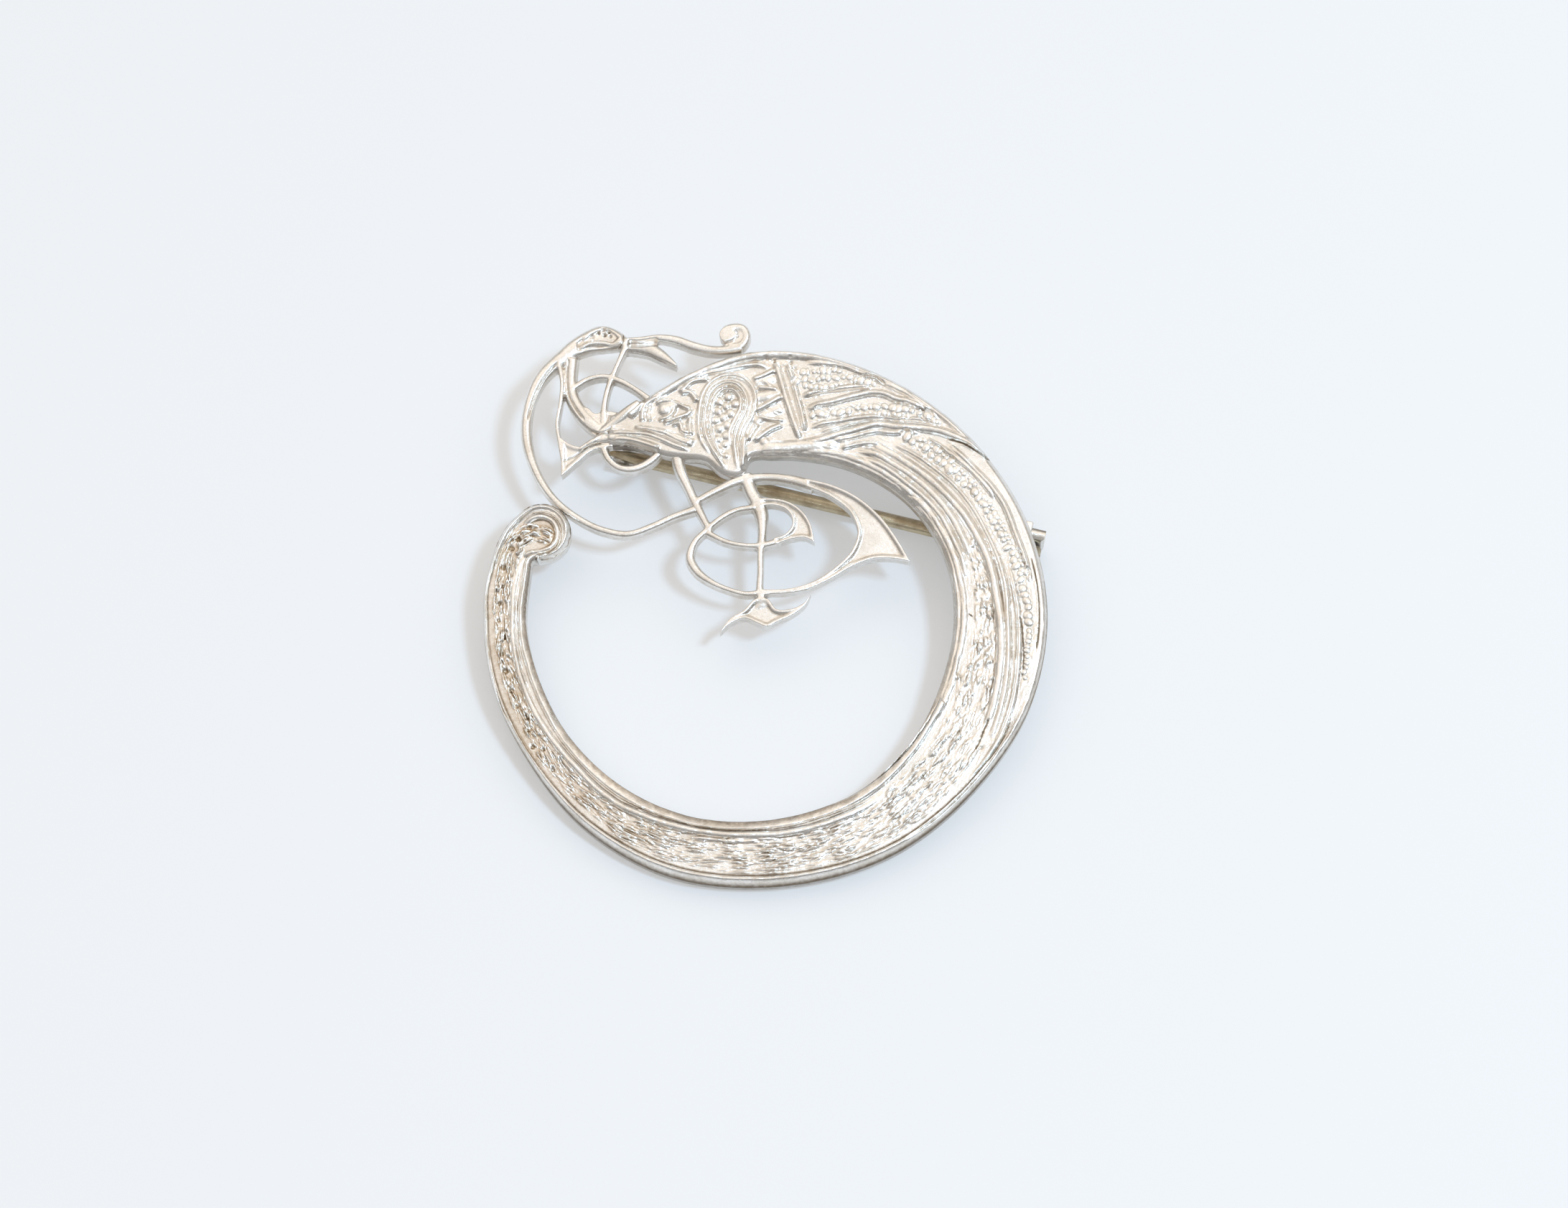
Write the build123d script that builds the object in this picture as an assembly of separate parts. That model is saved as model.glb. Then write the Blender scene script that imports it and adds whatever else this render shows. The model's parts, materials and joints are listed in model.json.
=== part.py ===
from build123d import *
import os
from math import asin, atan2, cos, degrees, hypot, radians, sin

# Celtic bird brooch: a cast silver bird whose long tail sweeps round as a ring, with a hinged pin.
# It is drawn flat, with its back on Z = 0 and its face up, and is then leaned over
# as it lies on a table: on the foot of its hinge, the foot of its catch and the lower edge of the ring.
# Plan tables are in squares of a drawing grid laid across the ring. All other sizes are millimetres.

# Driving sizes
RING_DIAMETER = 45.0
GRID_COUNT = 45
WIRE_THICKNESS = 1.3
PLATE_THICKNESS = 1.5
RELIEF_HEIGHT = 0.5
RELIEF_ROOT = 0.2
PIN_DIAMETER = 1.1
PIN_DROP = 2.8
PIN_NECK_LENGTH = 3.0
PIN_POINT_LENGTH = 3.5
PIN_POINT_DIAMETER = 0.2
PIN_OVERSHOOT = 2.2
EYE_WIDTH = 1.3
EYE_WALL = 0.6
RIVET_DIAMETER = 0.8
RIVET_HEAD_OVERHANG = 0.25
RIVET_HEAD_HEIGHT = 0.25
RUNNING_CLEARANCE = 0.04
EAR_THICKNESS = 0.7
EAR_WALL = 0.7
EAR_SIDE_CLEARANCE = 0.06
HINGE_ANGLE = 17.5
HINGE_INSET = 0.35
HINGE_PLATE_THICKNESS = 0.6
HINGE_PLATE_LENGTH = 2.3
HINGE_PLATE_MARGIN = 0.35
CATCH_WALL = 0.45
CATCH_WIDTH = 1.8
CATCH_CLEARANCE = 0.15
SOLDER_DEPTH = 0.3
SCROLL_DIAMETER = 4.76
CREST_BALL_DIAMETER = 2.44
BOSS_WIDTH = 4.0
BOSS_LENGTH = 6.6

# Places on the drawing grid: x, y in squares from the ring's centre
SCROLL_CENTRE = (-17.95, 7.55)
BOSS_CENTRE = (-3.05, 17.0)
BREAST_TOP = (-11.9, 17.6)
BREAST_BOTTOM = (-11.0, 14.9)

# The ring's two edges: angle in degrees, outer radius, inner radius
RING_EDGES = [
    (90, 22.95, 13.85),
    (75, 22.85, 14.1),
    (60, 22.6, 14.6),
    (40, 22.5, 15.15),
    (20, 22.55, 15.3),
    (0, 22.5, 15.05),
    (-20, 22.15, 14.9),
    (-40, 21.6, 15.3),
    (-60, 21.55, 15.75),
    (-90, 21.55, 16.3),
    (-110, 21.95, 16.95),
    (-130, 21.95, 17.55),
    (-150, 21.85, 18.1),
    (-165, 22.2, 18.5),
    (-180, 22.45, 19.05),
    (-194, 22.5, 19.3),
    (-200, 22.2, 19.6),
]

# The tail's end between the ring and the scroll: x, y
SCROLL_BLEND = [
    (-21.55, 5.4),
    (-21.35, 7.0),
    (-20.7, 8.0),
    (-19.8, 9.05),
    (-18.8, 9.75),
    (-17.95, 7.6),
    (-18.75, 4.9),
]

# The bird's body in front of the ring: x, y, from the neck along the back and home below the breast
BODY_EDGE = [
    (-13.6, 17.8),
    BREAST_TOP,
    (-11.2, 17.75),
    (-10.0, 18.75),
    (-8.0, 20.0),
    (-6.0, 21.15),
    (-4.0, 22.0),
    (-2.0, 22.7),
    (0.0, 22.95),
    (1.0, 13.8),
    (-1.5, 13.75),
    (-1.6, 12.3),
    (-3.3, 12.2),
    (-4.7, 13.5),
    (-6.4, 13.7),
    (-8.0, 14.0),
    (-9.3, 14.35),
    BREAST_BOTTOM,
    (-12.5, 14.9),
]

# The plate of the bill: x, y
BILL_EDGE = [
    (-16.45, 12.3),
    (-15.2, 13.45),
    (-14.0, 14.45),
    (-12.4, 14.85),
    (-12.4, 16.4),
    (-13.6, 15.8),
    (-14.3, 15.1),
    (-15.0, 14.85),
    (-15.7, 15.05),
    (-16.5, 15.6),
]

# Openwork strands: x, y and width of each at a few stations
HEAD = [
    (-16.9, 22.2, 1.2),
    (-15.8, 23.2, 1.6),
    (-14.5, 23.9, 2.0),
    (-13.3, 24.25, 2.3),
    (-12.3, 24.1, 1.9),
    (-11.4, 23.8, 1.1),
]
CREST_WIRE = [
    (-11.4, 23.95, 0.6),
    (-10.0, 24.05, 0.6),
    (-8.7, 24.2, 0.65),
    (-7.3, 24.0, 0.85),
    (-5.8, 23.45, 0.9),
    (-4.4, 23.1, 0.85),
    (-3.0, 23.1, 0.85),
    (-1.9, 23.3, 0.9),
]
CREST_LOOP = [
    (-16.6, 22.6, 1.3),
    (-18.2, 20.95, 1.15),
    (-19.15, 18.6, 0.9),
    (-19.35, 16.0, 0.9),
    (-18.65, 13.2, 0.75),
    (-17.25, 10.75, 0.65),
    (-15.3, 9.0, 0.6),
    (-13.0, 7.8, 0.6),
    (-11.0, 7.45, 0.6),
    (-9.0, 8.1, 0.6),
    (-7.4, 8.85, 0.6),
    (-5.6, 9.5, 0.7),
]
NECK = [
    (-15.8, 22.5, 1.2),
    (-15.9, 20.9, 1.0),
    (-15.85, 19.5, 1.05),
    (-15.4, 18.3, 1.3),
    (-14.5, 17.2, 1.7),
    (-13.2, 16.5, 2.4),
]
STRAND = [
    (-16.8, 22.2, 0.4),
    (-16.5, 20.4, 0.35),
    (-16.6, 18.6, 0.35),
    (-16.85, 16.8, 0.35),
    (-16.6, 15.2, 0.35),
    (-16.25, 13.3, 0.4),
]
BEAK_STRUT = [
    (-11.4, 23.3, 0.55),
    (-11.9, 22.1, 0.45),
    (-12.4, 20.9, 0.5),
]
ARCH = [
    (-15.6, 19.9, 0.5),
    (-14.4, 20.65, 0.5),
    (-13.2, 20.9, 0.5),
    (-11.9, 20.55, 0.55),
    (-10.6, 19.8, 0.5),
    (-9.4, 18.9, 0.6),
]
NECK_STRUT = [
    (-12.5, 20.7, 0.5),
    (-12.95, 19.2, 0.5),
    (-13.1, 18.0, 0.5),
    (-13.0, 16.9, 0.6),
]
JAW_LOOP = [
    (-13.1, 14.8, 0.55),
    (-12.6, 13.7, 0.5),
    (-11.7, 13.0, 0.45),
    (-10.7, 12.9, 0.45),
    (-9.7, 13.25, 0.5),
    (-8.9, 13.85, 0.6),
    (-8.2, 14.4, 0.7),
]
LEG = [
    (-7.2, 14.4, 1.1),
    (-6.8, 12.7, 0.95),
    (-6.15, 11.25, 0.8),
    (-5.6, 10.0, 0.8),
    (-5.05, 8.9, 0.65),
    (-4.4, 7.6, 0.55),
]
THIGH_ARC = [
    (-5.6, 10.1, 0.6),
    (-4.0, 11.0, 0.7),
    (-2.0, 11.9, 0.85),
    (0.0, 12.15, 0.75),
    (2.0, 11.95, 0.85),
    (3.9, 11.4, 1.0),
]
LEFT_LOOP = [
    (-0.2, 2.45, 0.5),
    (-1.5, 2.35, 0.45),
    (-3.0, 2.75, 0.45),
    (-4.35, 3.4, 0.55),
    (-5.45, 4.3, 0.75),
    (-6.0, 5.4, 0.8),
    (-5.7, 6.6, 0.6),
    (-4.8, 7.6, 0.5),
    (-3.6, 8.65, 0.5),
    (-2.3, 9.35, 0.5),
    (-0.8, 9.6, 0.5),
]
INNER_ARC = [
    (-4.6, 7.5, 0.5),
    (-3.2, 6.75, 0.45),
    (-1.7, 6.4, 0.42),
    (-0.2, 6.4, 0.5),
    (1.2, 6.75, 0.6),
]
SHAFT = [
    (-1.6, 11.9, 1.1),
    (-1.05, 10.8, 1.15),
    (-0.55, 9.9, 1.25),
    (-0.27, 9.0, 1.15),
    (-0.2, 8.0, 0.85),
    (-0.25, 6.9, 0.7),
    (-0.35, 5.8, 0.6),
    (-0.35, 4.2, 0.55),
    (-0.4, 2.6, 0.65),
    (-0.1, 1.2, 1.0),
]

# Beak, crescents and foot: x, y along each edge, one edge per list
BEAK_UPPER = [(-8.85, 24.1), (-8.75, 23.4), (-8.15, 22.6), (-7.1, 21.85)]
BEAK_LOWER = [(-7.2, 21.55), (-8.4, 22.05), (-9.5, 22.6), (-10.6, 22.85), (-11.6, 22.95)]
BEAK_ROOT = [(-11.6, 22.95), (-11.7, 24.1)]
CRESCENT_OUTER = [(3.3, 11.95), (5.2, 11.45), (7.2, 10.5), (9.2, 8.75), (10.8, 6.45), (11.65, 4.85)]
CRESCENT_LOWER = [(11.65, 4.85), (10.3, 5.1), (9.0, 5.15), (7.3, 4.65), (5.3, 3.5), (3.3, 2.6), (-0.2, 2.2)]
CRESCENT_INNER = [(-0.2, 2.65), (2.1, 2.75), (3.9, 3.3), (5.7, 4.5), (7.05, 6.0), (7.45, 7.4), (6.95, 8.9),
                  (5.4, 10.3), (3.3, 11.3)]
CUSP_OUTER = [(-0.6, 10.3), (0.6, 10.3), (2.0, 9.95), (3.0, 9.2), (3.65, 8.2), (4.0, 6.55)]
CUSP_LOWER = [(4.0, 6.55), (3.2, 6.95), (2.2, 6.85), (0.9, 6.4)]
CUSP_INNER = [(0.7, 6.95), (1.5, 7.2), (2.15, 7.9), (2.15, 8.75), (1.7, 9.35), (0.95, 9.65), (-0.6, 9.65)]
FOOT_UPPER = [(3.8, 2.5), (3.1, 1.5), (2.0, 1.0), (0.9, 1.05), (0.2, 1.9), (-0.7, 1.9), (-1.7, 0.95),
              (-2.8, 0.25), (-3.7, -1.05)]
FOOT_LOWER = [(-3.7, -1.05), (-2.8, -0.2), (-1.6, 0.25), (-0.6, -0.15), (0.15, -0.45), (0.9, -0.1),
              (2.2, 0.5), (3.2, 1.3), (3.8, 2.5)]

# The teardrop boss on the shoulder: x, y, as shares of half its width and half its length about its centre
BOSS_EDGE = [
    (0.0, 1.0),
    (0.72, 0.78),
    (0.98, 0.35),
    (0.82, -0.05),
    (0.58, -0.5),
    (0.5, -0.9),
    (0.4, -1.3),
    (0.0, -1.38),
    (-0.4, -1.15),
    (-0.85, -0.7),
    (-1.0, -0.2),
    (-1.0, 0.3),
    (-0.72, 0.78),
]
BOSS_GROOVE_SHARE = 0.8
BOSS_CORE_SHARE = 0.58

# Raised ribs on the body: x, y, width
BACK_RIM = [
    (-10.6, 16.4, 0.6),
    (-9.9, 18.3, 0.7),
    (-7.9, 19.6, 0.7),
    (-5.9, 20.75, 0.7),
    (-3.8, 21.6, 0.7),
    (-1.8, 22.25, 0.7),
    (0.4, 22.5, 0.7),
    (3.5, 22.25, 0.7),
    (6.6, 21.4, 0.7),
    (9.6, 20.1, 0.7),
]
BREAST_RIM = [
    (-12.6, 15.4, 0.5),
    (-10.6, 15.4, 0.5),
    (-8.8, 15.0, 0.5),
    (-7.2, 14.3, 0.5),
]
BREAST_RIM_UPPER = [
    (-12.0, 16.1, 0.35),
    (-9.4, 16.1, 0.35),
    (-7.8, 15.5, 0.35),
    (-5.9, 14.5, 0.35),
]
COLLAR_FRONT = [(0.9, 21.9, 0.35), (1.5, 19.3, 0.35), (2.1, 17.1, 0.35), (2.7, 15.3, 0.35)]
COLLAR_BACK = [(2.0, 21.9, 0.35), (2.45, 19.6, 0.35), (2.95, 17.4, 0.35), (3.4, 15.6, 0.35)]
WING_LOWER_RIM = [
    (-1.4, 14.6, 0.7),
    (1.2, 14.8, 0.7),
    (4.0, 15.1, 0.7),
    (6.5, 15.7, 0.6),
    (9.0, 16.1, 0.6),
    (12.0, 15.95, 0.6),
    (14.4, 15.4, 0.6),
    (16.6, 14.6, 0.5),
    (18.0, 13.3, 0.4),
]
WING_MIDDLE_RIM = [
    (3.6, 16.2, 0.5),
    (6.0, 16.5, 0.5),
    (9.0, 16.95, 0.5),
    (12.0, 16.7, 0.5),
    (13.4, 16.5, 0.4),
]
WING_UPPER_RIM = [
    (3.2, 18.9, 0.5),
    (5.5, 19.2, 0.5),
    (8.0, 19.6, 0.5),
    (10.0, 19.3, 0.5),
    (12.2, 18.0, 0.4),
]
WING_COVERT_RIM = [
    (3.7, 18.0, 0.4),
    (6.0, 18.5, 0.45),
    (8.6, 18.85, 0.5),
    (11.0, 18.3, 0.4),
    (13.2, 17.2, 0.3),
]
PANEL_BARS = [
    [(-5.4, 15.2, 0.4), (-5.6, 17.0, 0.4), (-5.4, 18.8, 0.4), (-4.6, 20.3, 0.4)],
    [(-9.3, 16.5, 0.35), (-9.2, 17.9, 0.35), (-8.2, 18.7, 0.35), (-6.9, 18.3, 0.35), (-6.0, 17.7, 0.35)],
    [(-8.6, 16.7, 0.4), (-7.2, 17.2, 0.4), (-6.0, 17.6, 0.4)],
    [(-8.2, 16.3, 0.3), (-6.8, 15.6, 0.3), (-5.5, 15.1, 0.3)],
    [(-6.9, 19.3, 0.35), (-5.9, 19.9, 0.35), (-5.4, 20.8, 0.35)],
    [(-1.0, 20.2, 0.45), (0.1, 20.5, 0.45), (1.1, 21.2, 0.4)],
    [(-0.6, 17.9, 0.45), (0.5, 18.3, 0.45), (1.6, 18.8, 0.4)],
    [(-1.0, 15.3, 0.45), (0.6, 15.9, 0.45), (2.1, 16.4, 0.4)],
    [(-0.5, 19.5, 0.35), (0.4, 19.8, 0.35), (1.4, 19.6, 0.35)],
    [(-0.7, 17.2, 0.35), (0.6, 17.0, 0.35), (1.9, 16.6, 0.35)],
]

# Feather ridges that sweep from the wing into the tail: x, y, width
TAIL_RIDGES = [
    [(7.6, 14.1, 0.5), (11.0, 12.0, 0.6), (13.9, 9.0, 0.6), (15.7, 5.0, 0.5), (16.3, 1.5, 0.35)],
    [(8.9, 14.7, 0.6), (12.2, 12.4, 0.6), (15.2, 9.2, 0.6), (17.0, 5.4, 0.6), (18.1, 1.4, 0.5),
     (18.3, -3.0, 0.4)],
    [(10.0, 14.7, 0.5), (13.3, 12.4, 0.5), (16.2, 9.2, 0.5), (18.0, 5.4, 0.5), (19.1, 1.4, 0.5),
     (19.3, -3.0, 0.4), (18.6, -7.0, 0.3)],
    [(14.2, 14.5, 0.5), (16.7, 12.0, 0.5), (18.7, 9.0, 0.5), (20.2, 6.0, 0.5), (21.2, 3.0, 0.4)],
]

# Rims that follow the ring's edges: how far each one's two sides lie in from the edge, in squares
OUTER_RIM_NEAR = 0.12
OUTER_RIM_FAR = 0.7
INNER_RIM_NEAR = 0.45
INNER_RIM_FAR = 1.15

# Angles in degrees where the rims leave the wing, and where ring and rims run into the scroll
OUTER_RIM_START = 52
INNER_RIM_START = 80
TAIL_END = -196

# How many degrees to either side of straight downhill the ring's lowest point is looked for
LEAN_SEARCH = 60

# Where the crest's ball sits from the end of its wire, as shares of its radius
BALL_BACK_SHARE = 0.55
BALL_UP_SHARE = 0.78

# Sizes worked out from the driving sizes
SQUARE = RING_DIAMETER / GRID_COUNT
pin_radius = PIN_DIAMETER / 2
rivet_radius = RIVET_DIAMETER / 2
hole_radius = rivet_radius + RUNNING_CLEARANCE
eye_radius = hole_radius + EYE_WALL
ear_radius = hole_radius + EAR_WALL
ear_gap = EYE_WIDTH + 2 * EAR_SIDE_CLEARANCE
hinge_width = ear_gap + 2 * EAR_THICKNESS
catch_inner_radius = pin_radius + CATCH_CLEARANCE
catch_outer_radius = catch_inner_radius + CATCH_WALL
relief_top = PLATE_THICKNESS + RELIEF_HEIGHT
relief_bottom = PLATE_THICKNESS - RELIEF_ROOT


def ring_radii(angle):
    """Outer and inner radius at an angle between two rows of the table, in squares."""
    for (first, outer_a, inner_a), (last, outer_b, inner_b) in zip(RING_EDGES, RING_EDGES[1:]):
        if last <= angle <= first:
            share = (first - angle) / (first - last)
            return outer_a + share * (outer_b - outer_a), inner_a + share * (inner_b - inner_a)
    return RING_EDGES[-1][1:]


def outer_radius(angle):
    """The ring's outer radius at an angle, in squares."""
    return ring_radii(angle)[0]


def inner_radius(angle):
    """The ring's inner radius at an angle, in squares."""
    return ring_radii(angle)[1]


def on_plan(x, y):
    """A point of the drawing grid, in millimetres."""
    return Vector(x * SQUARE, y * SQUARE, 0)


def on_ring(angle, radius):
    """A point of the drawing grid given by angle and radius, in millimetres."""
    return on_plan(radius * cos(radians(angle)), radius * sin(radians(angle)))


def pin_line():
    """The hinge point, the direction from the catch to the hinge, and the distance between the two."""
    hinge = on_ring(HINGE_ANGLE, outer_radius(HINGE_ANGLE) - HINGE_INSET / SQUARE)
    foot = (on_plan(*BREAST_TOP) + on_plan(*BREAST_BOTTOM)) * 0.5
    reach = hinge - foot
    side_step = catch_inner_radius + CATCH_WALL / 2
    angle = degrees(atan2(reach.Y, reach.X)) + degrees(asin(side_step / reach.length))
    direction = Vector(cos(radians(angle)), sin(radians(angle)), 0)
    return hinge - Vector(0, 0, PIN_DROP), direction, reach.dot(direction)


hinge_point, pin_direction, catch_distance = pin_line()
hinge_direction = Vector(-pin_direction.Y, pin_direction.X, 0)
catch_point = hinge_point - pin_direction * catch_distance
pin_length = catch_distance + PIN_OVERSHOOT


def spline(points):
    """A smooth edge through points in millimetres."""
    return Edge.make_spline(points)


def strand(rows):
    """The face of a strand: a smooth line with its own width at each station."""
    left = []
    right = []
    for i, (x, y, width) in enumerate(rows):
        before = rows[max(i - 1, 0)]
        after = rows[min(i + 1, len(rows) - 1)]
        along_x = after[0] - before[0]
        along_y = after[1] - before[1]
        reach = width / 2 / hypot(along_x, along_y)
        left.append(on_plan(x - along_y * reach, y + along_x * reach))
        right.append(on_plan(x + along_y * reach, y - along_x * reach))
    ends = [Edge.make_line(left[-1], right[-1]), Edge.make_line(right[0], left[0])]
    return Face(Wire([spline(left), ends[0], spline(right), ends[1]]))


def blade(*edges):
    """A face between edges given as lists of grid points, with short straight ends where two don't meet."""
    lines = []
    for edge, following in zip(edges, edges[1:] + edges[:1]):
        lines.append(spline([on_plan(x, y) for x, y in edge]))
        if edge[-1] != following[0]:
            lines.append(Edge.make_line(on_plan(*edge[-1]), on_plan(*following[0])))
    return Face(Wire(lines))


def patch(rows):
    """A face with straight sides through grid points."""
    points = [on_plan(x, y) for x, y in rows]
    return Face(Wire.make_polygon(points, close=True))


def disc(x, y, radius):
    """A round face about a point of the drawing grid, its radius in millimetres."""
    return Face(Wire.make_circle(radius, Plane(on_plan(x, y))))


def ring_band(start, end, outer_line, inner_line):
    """A face that follows the ring between two lines, each given as an edge's radius and a step off it."""
    angles = [row[0] for row in RING_EDGES if end < row[0] < start]
    sides = []
    for radius, step in (outer_line, inner_line):
        sides.append([on_ring(a, radius(a) + step) for a in [start] + angles + [end]])
    outer, inner = sides
    ends = [Edge.make_line(outer[-1], inner[-1]), Edge.make_line(inner[0], outer[0])]
    return Face(Wire([spline(outer), ends[0], spline(inner), ends[1]]))


def boss_face(share):
    """The teardrop's outline at a share of its size."""
    middle = on_plan(*BOSS_CENTRE)
    points = [middle + Vector(x * BOSS_WIDTH, y * BOSS_LENGTH) * (share / 2) for x, y in BOSS_EDGE]
    return Face(Wire([Edge.make_spline(points, periodic=True)]))


def raised(faces, bottom, top):
    """Faces of the plan, all turned face up, joined and carried up from one height to another."""
    upward = [face if face.normal_at().Z > 0 else -face for face in faces]
    joined = Sketch() + [Pos(0, 0, bottom) * face for face in upward]
    return extrude(joined, amount=top - bottom, dir=(0, 0, 1))


def openwork():
    """Head, crest, neck, legs and foot, cut through between their strands."""
    strands = [HEAD, CREST_WIRE, CREST_LOOP, NECK, STRAND, BEAK_STRUT, ARCH, NECK_STRUT, JAW_LOOP]
    strands += [LEG, THIGH_ARC, LEFT_LOOP, INNER_ARC, SHAFT]
    faces = [strand(rows) for rows in strands]
    faces.append(patch(BILL_EDGE))
    wire_end = CREST_WIRE[-1]
    ball_radius = CREST_BALL_DIAMETER / 2
    ball_x = wire_end[0] - BALL_BACK_SHARE * ball_radius / SQUARE
    ball_y = wire_end[1] + BALL_UP_SHARE * ball_radius / SQUARE
    faces.append(disc(ball_x, ball_y, ball_radius))
    faces.append(blade(BEAK_UPPER, BEAK_LOWER, BEAK_ROOT))
    faces.append(blade(CRESCENT_OUTER, CRESCENT_LOWER, CRESCENT_INNER))
    faces.append(blade(CUSP_OUTER, CUSP_LOWER, CUSP_INNER))
    faces.append(blade(FOOT_UPPER, FOOT_LOWER))
    return raised(faces, 0, WIRE_THICKNESS)


def field():
    """The body and the tail ring with its scroll, as one plate."""
    faces = [ring_band(RING_EDGES[0][0], TAIL_END, (outer_radius, 0), (inner_radius, 0))]
    faces.append(patch(BODY_EDGE))
    faces.append(patch(SCROLL_BLEND))
    faces.append(disc(*SCROLL_CENTRE, SCROLL_DIAMETER / 2))
    return raised(faces, 0, PLATE_THICKNESS)


def rims():
    """The raised rims of ring and scroll, and the ribs of body, wing and tail."""
    outer_rim = (outer_radius, -OUTER_RIM_NEAR), (outer_radius, -OUTER_RIM_FAR)
    inner_rim = (inner_radius, INNER_RIM_FAR), (inner_radius, INNER_RIM_NEAR)
    faces = [ring_band(OUTER_RIM_START, TAIL_END, *outer_rim)]
    faces.append(ring_band(INNER_RIM_START, TAIL_END, *inner_rim))
    strands = [BACK_RIM, BREAST_RIM, BREAST_RIM_UPPER, COLLAR_FRONT, COLLAR_BACK]
    strands += [WING_LOWER_RIM, WING_MIDDLE_RIM, WING_UPPER_RIM, WING_COVERT_RIM]
    faces += [strand(rows) for rows in strands + PANEL_BARS + TAIL_RIDGES]
    return raised(faces, relief_bottom, relief_top)


def boss():
    """The teardrop boss: a raised rim round a sunken groove with a raised core."""
    rim = raised([boss_face(1)], relief_bottom, relief_top)
    rim -= raised([boss_face(BOSS_GROOVE_SHARE)], relief_bottom, relief_top)
    return rim + raised([boss_face(BOSS_CORE_SHARE)], relief_bottom, relief_top)


def scroll_rim():
    """The raised rim round the scroll at the tail's end."""
    outside = disc(*SCROLL_CENTRE, SCROLL_DIAMETER / 2)
    inside = disc(*SCROLL_CENTRE, SCROLL_DIAMETER / 2 - OUTER_RIM_FAR * SQUARE)
    return raised([outside], relief_bottom, relief_top) - raised([inside], relief_bottom, relief_top)


def across_pin(point):
    """A plane at a point of the pin's line, with x along the hinge axis, y up and z along the pin."""
    return Plane(origin=point, x_dir=hinge_direction, z_dir=pin_direction)


def hinge_ears():
    """The soldered hinge: a plate let into the ring's back and two round ears with a rivet hole."""
    frame = Plane(origin=hinge_point, x_dir=pin_direction, z_dir=hinge_direction * -1)
    plate_height = HINGE_PLATE_THICKNESS + SOLDER_DEPTH
    plate_width = hinge_width + 2 * HINGE_PLATE_MARGIN
    plate_top = PIN_DROP + SOLDER_DEPTH
    plate = Pos(-HINGE_PLATE_LENGTH / 2, plate_top - plate_height / 2, 0) * Box(
        HINGE_PLATE_LENGTH, plate_height, plate_width
    )
    ear_height = PIN_DROP - HINGE_PLATE_THICKNESS / 2
    ears = Cylinder(ear_radius, hinge_width)
    ears += Pos(0, ear_height / 2, 0) * Box(2 * ear_radius, ear_height, hinge_width)
    ears -= Box(4 * ear_radius, 2 * (PIN_DROP - HINGE_PLATE_THICKNESS), ear_gap)
    return frame * (ears + plate - Cylinder(hole_radius, 2 * hinge_width))


def catch():
    """The plain catch: a strip bent to a hook under the pin, its mouth to the side."""
    frame = across_pin(catch_point)
    tube = Cylinder(catch_outer_radius, CATCH_WIDTH) - Cylinder(catch_inner_radius, 2 * CATCH_WIDTH)
    tube &= Pos(0, -catch_outer_radius, 0) * Box(4 * catch_outer_radius, 2 * catch_outer_radius, CATCH_WIDTH)
    stem_height = PIN_DROP + SOLDER_DEPTH
    stem = Pos(catch_inner_radius + CATCH_WALL / 2, stem_height / 2, 0) * Box(
        CATCH_WALL, stem_height, CATCH_WIDTH
    )
    return frame * (tube + stem)


def pin_stem():
    """The pin: a round stem drawn to a point, with a thicker neck and a flat round eye for the rivet."""
    along = Plane(origin=hinge_point, x_dir=hinge_direction, z_dir=pin_direction * -1)
    straight = pin_length - PIN_NECK_LENGTH - PIN_POINT_LENGTH
    neck = Pos(0, 0, PIN_NECK_LENGTH / 2) * Cone(EYE_WIDTH / 2, pin_radius, PIN_NECK_LENGTH)
    stem = Pos(0, 0, PIN_NECK_LENGTH + straight / 2) * Cylinder(pin_radius, straight)
    point = Pos(0, 0, pin_length - PIN_POINT_LENGTH / 2) * Cone(
        pin_radius, PIN_POINT_DIAMETER / 2, PIN_POINT_LENGTH
    )
    eye = Rot(0, 90, 0) * Cylinder(eye_radius, EYE_WIDTH)
    bore = Rot(0, 90, 0) * Cylinder(hole_radius, 2 * EYE_WIDTH)
    return along * (neck + stem + point + eye - bore)


def hinge_rivet():
    """The rivet through ears and eye, with a flat head at each end."""
    along = Plane(origin=hinge_point, x_dir=pin_direction, z_dir=hinge_direction)
    head_place = hinge_width / 2 + RUNNING_CLEARANCE + RIVET_HEAD_HEIGHT / 2
    rivet = Cylinder(rivet_radius, 2 * head_place)
    for side in (-1, 1):
        head = Cylinder(rivet_radius + RIVET_HEAD_OVERHANG, RIVET_HEAD_HEIGHT)
        rivet += Pos(0, 0, side * head_place) * head
    return along * rivet


def lean_angle():
    """How far the brooch leans when it lies on its hinge, its catch and the ring's edge."""
    foot_depth = PIN_DROP + max(ear_radius, catch_outer_radius)
    downhill = atan2(-hinge_direction.Y, -hinge_direction.X)
    from_pin = hinge_point.dot(hinge_direction)
    reach = 0
    for step in range(-LEAN_SEARCH, LEAN_SEARCH + 1):
        outer = outer_radius(degrees(downhill) + step) * SQUARE
        reach = max(reach, outer * cos(radians(step)))
    return degrees(asin(foot_depth / hypot(from_pin + reach, foot_depth)))


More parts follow.
